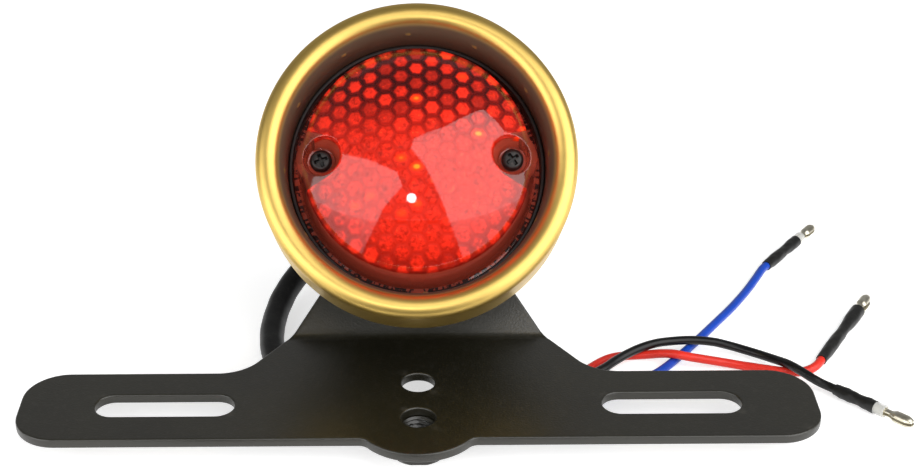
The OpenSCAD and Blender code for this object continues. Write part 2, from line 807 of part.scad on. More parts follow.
module board_leads() {
    from = -sheet_t - grommet_flange_t;
    place_r = grommet_bore_r - lead_d / 2 - slip_clear / 2;
    color([0.5, 0.1, 0.1])
        on_lamp() for (a = [90, 210, 330])
            rotate([0, 0, a]) translate([place_r, 0, from])
                cylinder(d = lead_d, h = board_w - from);
}

// Half section of the bezel: flange, throat, flare, rounded edge and side
module bezel_section() {
    back = roll_w - side_depth;
    turn = 180 - flare_angle;
    flare_steps = 5;
    roll_steps = 13;
    roll_start = turn - turn / (roll_steps + 1);
    polygon(concat(
        [[throat_r + bezel_t, ledge_w], [flange_r, ledge_w]],
        [[flange_r, gasket_w], [throat_r, gasket_w]],
        arc(flare_x, flare_w, flare_r, 180, turn, flare_steps),
        arc(roll_x, roll_w, roll_r, roll_start, 0, roll_steps),
        [[bezel_r, back], [bezel_r - bezel_t, back]],
        arc(roll_x, roll_w, roll_r - bezel_t, 0, roll_start, roll_steps),
        arc(flare_x, flare_w, flare_r - bezel_t, turn, 180, flare_steps)
    ));
}

module bezel() {
    color([0.78, 0.62, 0.26]) on_lamp() rotate_extrude($fn = 128) bezel_section();
}

// The lip has a notch for the lens's tab
module lens_gasket() {
    outer_r = throat_r - thread_clear;
    notch_w = tab_w + 2 * slip_clear;
    color([0.05, 0.05, 0.05])
        on_lamp() translate([0, 0, gasket_w]) {
            ring(outer_r, flange_r, gasket_t);
            difference() {
                ring(outer_r, outer_r - lip_t, gasket_t + lip_h);
                translate([-notch_w / 2, -outer_r - cut, gasket_t])
                    cube([notch_w, outer_r, lip_h + cut]);
            }
        }
}

// The sphere of the dome, with its poles to the sides
module dome(r) {
    translate([0, 0, dome_w - lens_w]) rotate([90, 0, 0]) sphere(r = r);
}

// The side's slope runs on past the front edge, where the dome cuts it
module lens_outside() {
    cylinder(r = lens_r, h = foot_t);
    translate([-tab_w / 2, -lens_r - tab_out, 0]) cube([tab_w, tab_out + cut, tab_h]);
    intersection() {
        union() {
            cylinder(r1 = side_r, r2 = 2 * edge_r - side_r, h = 2 * edge_h);
            both_sides(lens_screw_x) cylinder(r = well_wall_r, h = 2 * edge_h);
        }
        dome(dome_r);
    }
}

module lens_inside() {
    difference() {
        intersection() {
            translate([0, 0, -cut])
                cylinder(r1 = side_r - lens_t, r2 = 2 * edge_r - side_r - lens_t, h = 2 * edge_h);
            dome(dome_r - lens_t);
        }
        both_sides(lens_screw_x) translate([0, 0, -2 * cut]) cylinder(r = well_wall_r, h = 3 * edge_h);
    }
}

module tail_lens() {
    mouth_h = dome_w - lens_w + sqrt(pow(dome_r, 2) - pow(lens_screw_x, 2));
    slope = (well_mouth_r - well_floor_r) / (mouth_h - well_floor_h);
    color([0.85, 0.08, 0.05, 0.75])
        on_lamp() translate([0, 0, lens_w])
            difference() {
                lens_outside();
                lens_inside();
                both_sides(lens_screw_x) {
                    translate([0, 0, well_floor_h])
                        cylinder(r1 = well_floor_r, r2 = well_floor_r + slope * edge_h, h = edge_h);
                    translate([0, 0, -cut])
                        cylinder(d = lens_screw_d + bolt_clear, h = well_floor_h + 2 * cut);
                }
            }
}

module lens_screws() {
    color([0.1, 0.1, 0.1])
        on_lamp() both_sides(lens_screw_x)
            translate([0, 0, well_floor_w])
                pan_screw(lens_screw_d, lens_screw_len, lens_head_d, lens_head_h);
}

module loom_sleeve() {
    color([0.09, 0.09, 0.09]) tube(loom_route, loom_d, loom_sides);
}

module wire_black() {
    color([0.08, 0.08, 0.08]) tube(wire_black_route, wire_d, wire_sides);
}

module wire_red() {
    color([0.85, 0.13, 0.1]) tube(wire_red_route, wire_d, wire_sides);
}

module wire_blue() {
    color([0.08, 0.25, 0.72]) tube(wire_blue_route, wire_d, wire_sides);
}

// Puts what follows at the end of a route, with +Z along its last stretch
module at_end(route) {
    last = len(route) - 1;
    way = unit(route[last] - route[last - 1]);
    translate(route[last])
        rotate([0, acos(way[2]), atan2(way[1], way[0])])
            children();
}

// Shrunk sleeve: a grip on the wire, a swell, a waist and a head, a fifth each
module heat_shrink(route, length, head_d) {
    part = length / 5;
    color([0.1, 0.1, 0.1])
        at_end(route) difference() {
            union() {
                cylinder(d1 = shrink_waist_d, d2 = shrink_d, h = part);
                translate([0, 0, part]) cylinder(d = shrink_d, h = part);
                translate([0, 0, 2 * part]) cylinder(d1 = shrink_d, d2 = shrink_waist_d, h = part);
                translate([0, 0, 3 * part]) cylinder(d1 = shrink_waist_d, d2 = head_d, h = part);
                translate([0, 0, 4 * part]) cylinder(d = head_d, h = part);
            }
            translate([0, 0, -cut]) cylinder(d = barrel_d + 2 * thread_clear, h = length + 2 * cut);
        }
}

module clear_sleeve(route, length) {
    color([0.85, 0.85, 0.82, 0.5])
        at_end(route) translate([0, 0, length])
            ring(clear_d / 2, barrel_d / 2 + thread_clear, clear_len);
}

// The part of a terminal that stands out: neck, slope, head and nose
module bullet_outline() {
    nose = bullet_len - bullet_nose_len;
    head = bullet_neck_len + bullet_slope_len;
    cylinder(d = bullet_neck_d, h = bullet_neck_len);
    translate([0, 0, bullet_neck_len])
        cylinder(d1 = bullet_neck_d, d2 = bullet_d, h = bullet_slope_len);
    translate([0, 0, head]) cylinder(d = bullet_d, h = nose - head);
    translate([0, 0, nose]) cylinder(d1 = bullet_d, d2 = bullet_tip_d, h = bullet_nose_len);
}

// A split terminal: a barrel in its sleeves and two prongs, which may stand apart
module bullet(route, covered, whole, spread) {
    color([0.8, 0.76, 0.62])
        at_end(route) {
            cylinder(d = barrel_d, h = covered);
            translate([0, 0, covered - lap]) {
                intersection() {
                    bullet_outline();
                    cylinder(d = 2 * bullet_d, h = whole);
                }
                for (m = [0, 1]) mirror([m, 0, 0])
                    translate([spread, 0, 0]) intersection() {
                        bullet_outline();
                        translate([split_w / 2, -bullet_d, 0])
                            cube([bullet_d, 2 * bullet_d, bullet_len]);
                    }
            }
        }
}

module heat_shrink_black() { heat_shrink(wire_black_route, shrink_len_black, shrink_head_d); }
module heat_shrink_red() { heat_shrink(wire_red_route, shrink_len_red, red_head_d); }
module heat_shrink_blue() { heat_shrink(wire_blue_route, shrink_len_blue, shrink_head_d); }
module clear_sleeve_black() { clear_sleeve(wire_black_route, shrink_len_black); }
module clear_sleeve_blue() { clear_sleeve(wire_blue_route, shrink_len_blue); }

module bullet_black() {
    bullet(wire_black_route, shrink_len_black + clear_len, bullet_neck_len, 0);
}

module bullet_red() { bullet(wire_red_route, shrink_len_red, lap, prong_spread); }

module bullet_blue() {
    bullet(wire_blue_route, shrink_len_blue + clear_len, bullet_neck_len, 0);
}

mounting_bracket();
weld_nut();
mounting_pad();
lamp_body();
mounting_screws();
flat_washers();
spring_washers();
cable_grommet();
circuit_board();
board_screws();
led_emitters();
resistors();
polarity_diode();
led_reflector();
board_leads();
bezel();
lens_gasket();
tail_lens();
lens_screws();
loom_sleeve();
wire_black();
wire_red();
wire_blue();
heat_shrink_black();
heat_shrink_red();
heat_shrink_blue();
clear_sleeve_black();
clear_sleeve_blue();
bullet_black();
bullet_red();
bullet_blue();
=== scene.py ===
"""A round tail lamp on its plate bracket, with its loom and leads, and the stage round it."""

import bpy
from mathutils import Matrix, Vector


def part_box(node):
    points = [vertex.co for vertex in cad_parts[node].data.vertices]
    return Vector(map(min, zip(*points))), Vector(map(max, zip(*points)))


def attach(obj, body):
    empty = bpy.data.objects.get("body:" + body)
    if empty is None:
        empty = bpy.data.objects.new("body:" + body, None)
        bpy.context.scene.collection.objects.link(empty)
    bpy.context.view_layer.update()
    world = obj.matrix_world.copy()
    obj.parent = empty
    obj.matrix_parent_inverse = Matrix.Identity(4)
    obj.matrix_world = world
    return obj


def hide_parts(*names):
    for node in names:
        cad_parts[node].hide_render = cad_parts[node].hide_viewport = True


bl_info = {
    "name": "Round Tail Lamp",
    "version": (1, 0, 0),
    "blender": (4, 5, 0),
    "location": "3D View > Sidebar > Tail Lamp",
    "description": "Builds a round tail lamp, its plate bracket, loom and leads, and a stage",
    "category": "Object",
}

import bmesh
import bpy
import numpy as np
from bpy.props import FloatProperty, FloatVectorProperty, PointerProperty
from bpy.types import Operator, Panel, PropertyGroup
from mathutils import Matrix, Vector
from mathutils.geometry import delaunay_2d_cdt

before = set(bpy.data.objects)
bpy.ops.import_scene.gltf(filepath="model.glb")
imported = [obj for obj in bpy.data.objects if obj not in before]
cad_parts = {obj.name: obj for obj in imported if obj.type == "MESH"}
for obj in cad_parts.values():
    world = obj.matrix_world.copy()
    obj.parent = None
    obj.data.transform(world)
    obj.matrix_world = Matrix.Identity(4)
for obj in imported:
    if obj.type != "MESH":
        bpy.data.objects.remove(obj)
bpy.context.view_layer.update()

MM = 0.001
TURN = 2 * np.pi

# The bent sheet, and the lamp's place on its neck
SHEET_T = 2.5 * MM
NUT_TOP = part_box("weld_nut")[1].z
PLATE_TOP = NUT_TOP + SHEET_T
NECK_ANGLE = np.radians(52)
BEND_Y = 38 * MM
LAMP_UP = 39.6 * MM
LAMP_UPWARD = np.array([0, np.cos(NECK_ANGLE), np.sin(NECK_ANGLE)])
LAMP_OUTWARD = np.array([0, -np.sin(NECK_ANGLE), np.cos(NECK_ANGLE)])
LAMP_AXES = np.array([[1, 0, 0], LAMP_UPWARD, LAMP_OUTWARD])
LAMP_ORIGIN = np.array([0, BEND_Y, PLATE_TOP]) + LAMP_UP * LAMP_UPWARD

# Heights along the lamp's axis, from the neck's front face
LEDGE_W = 22 * MM
BEZEL_T = 1 * MM
GASKET_W = LEDGE_W + BEZEL_T
LENS_W = GASKET_W + 1 * MM
THROAT_R = 32.7 * MM
FLANGE_R = THROAT_R - 2.8 * MM

# Holes that neck and pad share, and the washers behind the neck
CABLE_HOLE_R = 6 * MM
MOUNT_DX = 13 * MM
MOUNT_HOLE_R = 2.2 * MM
FLAT_WASHER_T = 0.8 * MM
SPRING_WASHER_T = 1 * MM

# Diameter, length, head's diameter and head's height of a screw
LENS_SCREW = np.array([3, 25, 5.6, 2]) * MM
MOUNTING_SCREW = np.array([4, 12.8, 7.6, 2.6]) * MM

# The photograph's frame in pixels, and the camera's sensor, lens and shift
IMAGE_W, IMAGE_H = 924, 471
SENSOR, CAMERA_LENS, SHIFT = 36, 70.15, 0.0485

# Pixels of the photograph where the dome mirrors the outlines of a bright field on the right and of
# one on the left, picked on an enlarged view, and of the dark wedge between them, whose
# points lie on straight lines through the picked ones
RIGHT_FIELD = [
    (481.7, 110.6), (444.5, 128), (414.2, 139.7), (410.7, 149), (423.5, 164.1), (442.2, 202.5),
]
LEFT_FIELD = [(384, 207.2), (402.6, 186.2), (398, 172.3), (370, 160), (337.4, 153.6)]
WEDGE_NEAR = [(358, 262), (463, 260), (454, 233)]
WEDGE_LEFT = [(377, 221), (371, 234)]

# How far behind the neck the loom starts, and the cords' routes in millimetres, as in the construction
LOOM_BACK = 4.3 * MM
LOOM_ROUTE = [
    [-1, 79.6, 28.4], [-5, 85.4, 23.4], [-11.6, 89, 18.4], [-19.4, 89.2, 14],
    [-27, 85.4, 10.4], [-33, 78.8, 7.4], [-37.2, 70, 5.2], [-39.4, 59.6, 3.8],
    [-39.8, 48.6, 3.4], [-38, 37.6, 3.4], [-32.8, 27.4, 3.4], [-24.4, 19.8, 3.4],
    [-14, 15.6, 3.4], [-2.6, 14, 3.4], [8, 14, 3.4], [18, 14, 3.4],
]
BLUE_ROUTE = [
    [18, 12.6, 2.6], [23, 12.6, 2.6], [28.4, 13.2, 1.8], [34.4, 14.8, 1.3],
    [40.6, 17.4, 1.2], [47, 21.2, 1.2], [53, 25.2, 1.2], [58.2, 28.6, 1.2],
    [62.8, 31.9, 1.2], [66, 35.2, 1.2], [69.4, 39.4, 1.2], [73.3, 44.6, 1.2],
    [79, 52.6, 1.2], [84, 59.8, 1.2], [88.4, 66.2, 1.2], [91.9, 71.8, 1.2],
    [95.1, 77.2, 1.3], [98.2, 82.7, 1.6], [100.7, 87.3, 1.9], [102.3, 89.4, 1.9],
]
RED_ROUTE = [
    [18, 15.4, 2.6], [22.6, 15.4, 2.6], [27, 17.6, 1.9], [31.8, 21, 1.4],
    [36.6, 25.4, 1.2], [41.6, 30.6, 1.2], [46.2, 35.4, 1.2], [49.8, 38.8, 1.2],
    [53.2, 40.7, 1.2], [57.6, 41.4, 1.2], [61.8, 41.2, 1.6], [65.4, 39.7, 2.8],
    [68.8, 38, 3.7], [72.2, 37.1, 3.4], [77.2, 36.8, 2.6], [82.4, 36.6, 1.7],
    [87.4, 35.7, 1.2], [91.6, 34.4, 1.2], [96.3, 33.1, 1.2], [100.1, 32.6, 1.2],
    [102.5, 32.8, 1.3], [104.6, 33.5, 1.6], [106.2, 34.7, 1.9], [107.3, 36.1, 2.1],
    [107.9, 37.1, 2.1],
]
BLACK_ROUTE = [
    [18, 14, 5], [22.6, 14, 5], [27.2, 15.6, 4.9], [32, 18.8, 4.3],
    [37, 22.6, 3.6], [43, 27.2, 3], [48.7, 31.7, 3], [52.5, 35.5, 3.2],
    [56.2, 38.5, 3.6], [60.1, 40.9, 4], [64.2, 42.9, 4.1], [68.2, 44.2, 3.9],
    [73.6, 44.9, 3.8], [79.6, 44.7, 3.4], [84, 43.9, 2.7], [88, 42.6, 2.1],
    [92, 40.2, 2], [95.4, 36.7, 2.6], [98.1, 32.6, 3.7], [100.7, 29.1, 3.8],
    [103.3, 26.7, 3.1], [105.6, 25.4, 2.3], [107.5, 24.3, 1.9], [108.8, 23, 1.9],
]

# Each wire's route, the length and head diameter of its heat-shrink, the length of its clear sleeve
# and how far its terminal's halves are sprung out, all in millimetres
WIRES = {
    "blue": (BLUE_ROUTE, 19, 3.5, 3, 0),
    "red": (RED_ROUTE, 30, 4, 0, 0.4),
    "black": (BLACK_ROUTE, 12, 3.5, 3, 0),
}


def srgb(red, green, blue):
    """A colour of 0 to 255 steps as the linear values that shaders take."""
    steps = np.array([red, green, blue]) / 255
    linear = np.where(steps < 0.04045, steps / 12.92, ((steps + 0.055) / 1.055) ** 2.4)
    return tuple(float(value) for value in linear)


def length(name, description, millimetres):
    """A length property, with its default in millimetres."""
    return FloatProperty(
        name=name, description=description, default=millimetres * MM,
        min=0.0, unit="LENGTH", subtype="DISTANCE", precision=5,
    )


def colour(name, description, red, green, blue):
    """A colour property, with its default in steps of 0 to 255."""
    return FloatVectorProperty(
        name=name, description=description, default=srgb(red, green, blue),
        min=0.0, max=1.0, subtype="COLOR",
    )


class BracketSizes(PropertyGroup):
    bar_length: length("Bar length", "Length of the plate bar", 200)
    bar_depth: length("Bar depth", "Depth of the plate bar, front to rear", 30)
    bar_front: length("Bar front", "How far the bar's front edge is ahead of the nut", 9)
    corner_r: length("Corner radius", "Radius of the bar's corners", 11)
    lug_r: length("Lug radius", "Radius of the lug round the nut", 16)
    lug_fillet_r: length("Lug fillet", "Radius of the fillets beside the lug", 3)
    hole_d: length("Hole", "Diameter of the two holes in the lug", 8.5)
    hole_spacing: length("Hole spacing", "Distance from the nut to the hole behind it", 16)
    slot_spacing: length("Slot spacing", "Distance between the slots' centres", 127)
    slot_length: length("Slot length", "Length of each slot", 35)
    slot_width: length("Slot width", "Width of each slot", 9.5)
    neck_half: length("Neck half width", "Half width of the neck where the bend begins", 35.2)
    neck_fillet_r: length("Neck fillet", "Radius of the fillets between neck and bar", 12)
    head_r: length("Head radius", "Radius of the round head behind the lamp", 19)
    bend_r: length("Bend radius", "Inside radius of the bend", 3)
    edge_r: length("Edge radius", "Rounding of the coated sheet's edges", 0.45)
    thread_pitch: length("Thread pitch", "Pitch of the nut's thread", 1.25)


class LampSizes(PropertyGroup):
    bezel_r: length("Bezel radius", "Greatest radius of the bezel", 40)
    roll_r: length("Roll radius", "Radius of the bezel's rounded front edge", 3)
    bezel_depth: length("Bezel depth", "Bezel's crest above the ledge", 21.5)
    side_depth: length("Side depth", "Straight side behind the rounded edge", 17.5)
    dot_r: length("Dot radius", "Radius of the twelve low dots in the dish", 0.8)
    dot_h: length("Dot height", "Height of those dots", 0.3)


class LensSizes(PropertyGroup):
    foot_r: length("Foot radius", "Radius of the lens at its foot", 31.4)
    side_r: length("Side radius", "Radius of the side just above the foot", 30.5)
    edge_r: length("Edge radius", "Radius of the lens's front edge", 28)
    edge_h: length("Edge height", "Height of the front edge above the foot", 18)
    dome_r: length("Dome radius", "Radius of the domed face", 41)
    wall: length("Wall", "Thickness of the lens's face", 2.2)
    side_wall: length("Side wall", "Thickness of the lens's side", 1)
    screw_x: length("Screw distance", "Distance of each screw from the axis", 23.8)
    column_r: length("Column radius", "Radius of the column round each well", 6.2)
    mouth_r: length("Well mouth", "Radius of each well at the dome", 4.9)
    floor_r: length("Well floor", "Radius of each well at its floor", 3.6)
    floor_h: length("Well floor height", "Height of the wells' floors above the foot", 14)
    cell_pitch: length("Cell pitch", "Distance between the columns of hexagon cells", 3.7)
    groove: length("Groove depth", "Depth of the grooves between the cells", 1.2)


class CordSizes(PropertyGroup):
    loom_d: length("Loom", "Diameter of the loom sleeve", 6.8)
    wire_d: length("Wire", "Diameter of each wire", 2.4)
    shrink_d: length("Heat-shrink", "Diameter of the heat-shrink sleeves", 3.4)
    shrink_waist_d: length("Waist", "Diameter of the sleeves at their waists", 2.9)
    barrel_d: length("Barrel", "Diameter of the terminals' barrels", 2.4)
    bullet_d: length("Terminal", "Diameter of the terminals' heads", 3.1)
    bullet_len: length("Terminal length", "Length of the terminals ahead of their sleeves", 8)


class Finishes(PropertyGroup):
    coat: colour("Powder coat", "Black coat of the bracket", 28, 26, 15)
    rubber: colour("Rubber", "Black rubber of pad, grommet and gasket", 20, 19, 17)
    body: colour("Body", "Black paint of the lamp body", 34, 34, 34)
    gold: colour("Gold", "Satin gold of the bezel", 222, 188, 104)
    dish_brown: colour("Dish brown", "Dark brown in the bezel's dish", 96, 82, 66)
    # Darker brown that the bezel's dish takes inside its edge
    lens: colour("Lens", "Tint of the lens's skin", 255, 170, 160)
    cell: colour("Cells", "Red of the lens's cells", 234, 74, 42)
    # Painted shade in the grooves between the cells
    groove_shade: colour("Cell gaps", "Dark red between the cells", 92, 16, 8)
    lens_wall: colour("Lens walls", "Inside of the lens's sides and wells", 190, 128, 104)
    # Colour of the glints painted on the lens's cells over the diodes
    glint: colour("Glints", "Orange to yellow where a diode shows through", 255, 178, 40)
    screw: colour("Screws", "Black steel of the screws", 44, 43, 42)
    vinyl: colour("Loom", "Black vinyl of the loom sleeve", 16, 16, 15)
    blue: colour("Blue wire", "Blue insulation", 22, 74, 190)
    red: colour("Red wire", "Red insulation", 236, 52, 38)
    black: colour("Black wire", "Black insulation", 9, 9, 9)
    shrink: colour("Heat-shrink", "Black heat-shrink", 24, 24, 23)
    tin: colour("Terminals", "Tinned brass", 220, 216, 202)


def darker(values, share):
    """A colour times a share."""
    return tuple(share * value for value in values)


def opaque(values):
    """A colour with full alpha."""
    return (*values, 1.0)


def even_angles(count):
    """Angles round a whole turn, with its end left out."""
    return np.arange(count) * TURN / count


def settled(step, value):
    """The value that a step leaves as it is, found by taking the step twelve times."""
    for _ in range(12):
        value = step(value)
    return value


def add_object(name, data):
    """A new object of the data, in the scene."""
    thing = bpy.data.objects.new(name, data)
    bpy.context.scene.collection.objects.link(thing)
    return thing


def unit(vectors):
    """The vectors divided by their lengths."""
    return vectors / np.linalg.norm(vectors, axis=-1, keepdims=True)


def on_lamp(points, rise=0.0):
    """Points in the lamp's own frame moved to their place.

    In that frame x points to the right, y up the neck and z along the light.
    """
    return LAMP_ORIGIN + (np.asarray(points) + [0, 0, rise]) @ LAMP_AXES


def in_lamp_frame(piece):
    """The points of a piece's mesh in the lamp's own frame."""
    places = np.zeros(len(piece.data.vertices) * 3)
    piece.data.vertices.foreach_get("co", places)
    return (places.reshape(-1, 3) - LAMP_ORIGIN) @ LAMP_AXES.T


def arc(centre, radius, start, end, steps):
    """Points on a circle at even angles from start to end, in degrees."""
    angle = np.radians(np.linspace(start, end, steps + 1))
    return np.asarray(centre) + radius * np.stack([np.cos(angle), np.sin(angle)], -1)


def rounded(corners, radii, steps=4):
    """A closed outline with each corner replaced by an arc of its radius.

    The arc's centre lies on the corner's bisector at radius / sin(half the angle), and its
    points turn evenly from one side to the other.
    """
    corners = np.asarray(corners, float)
    radii = np.broadcast_to(np.asarray(radii, float), len(corners))[:, None]
    back = unit(np.roll(corners, 1, 0) - corners)
    ahead = unit(np.roll(corners, -1, 0) - corners)
    half = np.arccos(np.clip((back * ahead).sum(1, keepdims=True), -1, 1)) / 2
    half = np.minimum(half, np.pi / 2 - 1e-4)
    centre = corners + unit(back + ahead + 1e-12) * radii / np.sin(half)
    reach = radii / np.tan(half)
    start, end = corners + back * reach - centre, corners + ahead * reach - centre
    turn = np.pi - 2 * half
    share = np.linspace(0, 1, steps + 1)[:, None, None]
    points = centre + (np.sin((1 - share) * turn) * start + np.sin(share * turn) * end) / np.sin(turn)
    points = points.transpose(1, 0, 2).reshape(-1, 2)
    moved = np.linalg.norm(points - np.roll(points, 1, 0), axis=1)
    return points[moved > 1e-7]


def loft(rings, join=False, caps=False):
    """Quads between neighbouring rings of points.

    join ties the last ring to the first, and caps closes each end with a fan to its mean point.
    """
    rings = np.asarray(rings)
    count, around = rings.shape[:2]
    index = np.arange(count * around).reshape(count, around)
    near, far = (index, np.roll(index, -1, 0)) if join else (index[:-1], index[1:])
    quads = np.stack([near, np.roll(near, -1, 1), np.roll(far, -1, 1), far], -1).reshape(-1, 4)
    points, faces = rings.reshape(-1, 3), [quads]
    if caps:
        points = np.vstack([points, rings[0].mean(0), rings[-1].mean(0)])
        for ring, middle in ((index[0], len(points) - 2), (index[-1], len(points) - 1)):
            fan = np.stack([ring, np.roll(ring, -1), np.full(around, middle)], -1)
            faces.append(fan if ring[0] else fan[:, ::-1])
    return points, faces


def lathe(profile, around=128):
    """Rings of a profile of (radius, height) points turned round the z axis."""
    angle = even_angles(around)
    radius, height = np.asarray(profile).T[..., None]
    return np.stack([radius * np.cos(angle), radius * np.sin(angle), height + 0 * angle], -1)


def slab(front, back, wrap=False):
    """A wall between two grids of points of one shape: both faces and the strips along their borders."""
    rows, cols = front.shape[:2]
    index = np.arange(rows * cols).reshape(rows, cols)
    step = rows * cols
    if wrap:
        index = np.hstack([index, index[:, :1]])
    a, b, c, d = index[:-1, :-1], index[:-1, 1:], index[1:, 1:], index[1:, :-1]
    face = np.stack([a, b, c, d], -1).reshape(-1, 4)
    faces = [face, face[:, ::-1] + step]
    borders = [index[0], index[-1][::-1]]
    if not wrap:
        borders += [index[::-1, 0], index[:, -1]]
    for border in borders:
        faces.append(np.stack([border[1:], border[:-1], border[:-1] + step, border[1:] + step], -1))
    return np.vstack([front.reshape(-1, 3), back.reshape(-1, 3)]), faces


def inside(points, loops):
    """Whether each point lies inside an odd number of the closed loops."""
    start = np.vstack(loops)
    end = np.vstack([np.roll(loop, -1, 0) for loop in loops])
    x, y = points[:, :1], points[:, 1:]
    crosses = (start[:, 1] > y) != (end[:, 1] > y)
    rise = np.where(crosses, end[:, 1] - start[:, 1], 1)
    at = start[:, 0] + (y - start[:, 1]) * (end[:, 0] - start[:, 0]) / rise
    return (crosses & (x < at)).sum(1) % 2 == 1


def filled(loops, lattice=None, bars=()):
    """Triangles over the area between closed loops, as (points, faces), through the lattice's points.

    bars are pairs of point numbers that an edge joins straight across.
    """
    points = np.vstack(loops)
    edges, start = list(bars), 0
    for loop in loops:
        index = np.arange(len(loop)) + start
        edges += np.stack([index, np.roll(index, -1)], -1).tolist()
        start += len(loop)
    if lattice is not None:
        points = np.vstack([points, lattice[inside(lattice, loops)]])
    flat, _, faces, *_ = delaunay_2d_cdt((points / MM).tolist(), edges, [], 0, 1e-7)
    flat, faces = np.array(flat) * MM, np.array(faces)
    return flat, faces[inside(flat[faces].mean(1), loops)]


def rims(loops, profile):
    """A sheet's edges: for each loop, rings of the profile carried round it, as (inset, height) from
    the loop along its inward normal, and the innermost loops that the flat faces start from."""
    edges, inner = [], []
    for loop in loops:
        way = unit(np.roll(loop, -1, 0) - np.roll(loop, 1, 0))
        normal = np.stack([way[:, 1], -way[:, 0]], -1)
        flat = loop[None] - normal[None] * profile[:, :1, None]
        height = np.broadcast_to(profile[:, 1, None, None], (*flat.shape[:2], 1))
        edges.append(np.concatenate([flat, height], -1))
        inner.append(flat[0])
    return edges, inner


def make_piece(name, parts, finishes, replaced=(), sharp=40):
    """One closed mesh of several surfaces, each with the number of its finish, riding on the frame."""
    points, faces, marks, start = [], [], [], 0
    for (corner, groups), mark in parts:
        for group in groups:
            faces += (group + start).tolist()
            marks += [mark] * len(group)
        points.append(corner.reshape(-1, 3))
        start += len(points[-1])
    mesh = bpy.data.meshes.new(name)
    mesh.from_pydata(np.vstack(points).tolist(), [], faces)
    mesh.polygons.foreach_set("material_index", marks)
    shape = bmesh.new()
    shape.from_mesh(mesh)
    bmesh.ops.remove_doubles(shape, verts=shape.verts, dist=2e-6)
    bmesh.ops.recalc_face_normals(shape, faces=shape.faces)
    shape.to_mesh(mesh)
    shape.free()
    for material in finishes:
        mesh.materials.append(material)
    mesh.shade_smooth()
    mesh.set_sharp_from_angle(angle=np.radians(sharp))
    piece = add_object(name, mesh)
    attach(piece, "root")
    if replaced:
        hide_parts(*replaced)
    return piece


def mark_points(piece, name, values):
    """Stores one value for each point of the mesh, for a shader to read."""
    layer = piece.data.attributes.new(name, "FLOAT", "POINT")
    layer.data.foreach_set("value", np.asarray(values, np.float32))


def fill(tree, node, inputs):
    """Fills a node's inputs: a socket is linked, and any other value is set."""
    for key, value in inputs.items():
        if isinstance(value, bpy.types.NodeSocket):
            tree.links.new(value, node.inputs[key])
        else:
            node.inputs[key].default_value = value


def place(tree, kind, inputs=None, **settings):
    """Adds a shader node with its settings and fills its inputs."""
    node = tree.nodes.new(kind)
    for name, value in settings.items():
        setattr(node, name, value)
    fill(tree, node, inputs or {})
    return node


def compute(tree, operation, *values, **settings):
    """The result of a maths node for its two or three values."""
    return place(tree, "ShaderNodeMath", dict(enumerate(values)), operation=operation,
                 **settings).outputs[0]


def noise(tree, where, scale, detail, roughness=0.5):
    """The value of a noise texture of that scale, in patches a metre."""
    return place(tree, "ShaderNodeTexNoise", {
        "Vector": where, "Scale": scale, "Detail": detail, "Roughness": roughness,
    }).outputs["Fac"]


def own_value(tree, name):
    """The value that a piece stores for each of its points under this name."""
    return place(tree, "ShaderNodeAttribute", attribute_name=name).outputs["Fac"]


def object_place(tree):
    """The place on the object that textures are laid out by."""
    return place(tree, "ShaderNodeTexCoord").outputs["Object"]


def mix_colours(tree, share, first, second):
    """The colour that leads from first to second by share."""
    return place(tree, "ShaderNodeMix", {0: share, 6: first, 7: second}, data_type="RGBA").outputs[2]


def span(tree, value, low, high, start=0.0, end=1.0, kind="SMOOTHSTEP"):
    """A change from start to end, eased or linear, while the value goes from low to high."""
    return place(tree, "ShaderNodeMapRange", {
        "Value": value, "From Min": low, "From Max": high, "To Min": start, "To Max": end,
    }, interpolation_type=kind).outputs["Result"]


def relief_of(tree, height, depth):
    """The normal of a surface whose relief follows the height, down to the depth."""
    return place(tree, "ShaderNodeBump", {"Height": height, "Distance": depth}).outputs["Normal"]


def new_material(name):
    """A new material, its node tree and its standard shader."""
    material = bpy.data.materials.new(name)
    material.use_nodes = True
    tree = material.node_tree
    return material, tree, tree.nodes["Principled BSDF"]


def glowing_material(name, strength):
    """A new material without nodes but a white glow, with the node tree and the glow's socket."""
    material, tree, _ = new_material(name)
    tree.nodes.clear()
    glow = place(tree, "ShaderNodeEmission", {"Color": (1, 1, 1, 1), "Strength": strength})
    return material, tree, glow.outputs[0]


def build_grain(tree, given):
    """Fine grain: noise of one size for relief, and broader noise that changes the gloss."""
    fine = noise(tree, given["Place"], given["Per metre"], 3.0)
    broad = noise(tree, given["Place"], 60.0, 4.0, 0.6)
    centred = compute(tree, "ADD", compute(tree, "ADD", fine, broad), -1.0)
    rough = compute(tree, "MULTIPLY_ADD", centred, given["Spread"], given["Roughness"], use_clamp=True)
    return fine, rough


def build_tone(tree, given):
    """Uneven colour: broad noise leads from the main colour to a second one, and dust settles in
    specks on what faces up."""
    patches = noise(tree, given["Place"], given["Per metre"], 5.0, 0.65)
    toned = mix_colours(tree, span(tree, patches, 0.35, 0.68, kind="LINEAR"), given["Colour"],
                        given["Second"])
    facing = place(tree, "ShaderNodeNewGeometry").outputs["Normal"]
    height = place(tree, "ShaderNodeSeparateXYZ", {0: facing}).outputs["Z"]
    level = span(tree, height, 0.3, 1.0, kind="LINEAR")
    specks = span(tree, noise(tree, given["Place"], 900.0, 4.0, 0.7), 0.52, 0.75, kind="LINEAR")
    amount = compute(tree, "MULTIPLY", compute(tree, "MULTIPLY", level, specks), given["Dust amount"])
    return [mix_colours(tree, amount, toned, given["Dust"])]


def build_wear(tree, given):
    """Edge wear: outward edges, broken up by noise, lead to the bare colour."""
    outward = place(tree, "ShaderNodeNewGeometry").outputs["Pointiness"]
    edge = span(tree, outward, 0.52, 0.6, kind="LINEAR")
    broken = span(tree, noise(tree, given["Place"], 500.0, 4.0), 0.4, 0.7, kind="LINEAR")
    mask = compute(tree, "MULTIPLY", compute(tree, "MULTIPLY", edge, broken), given["Amount"])
    return [mix_colours(tree, mask, given["Colour"], given["Bare"])]


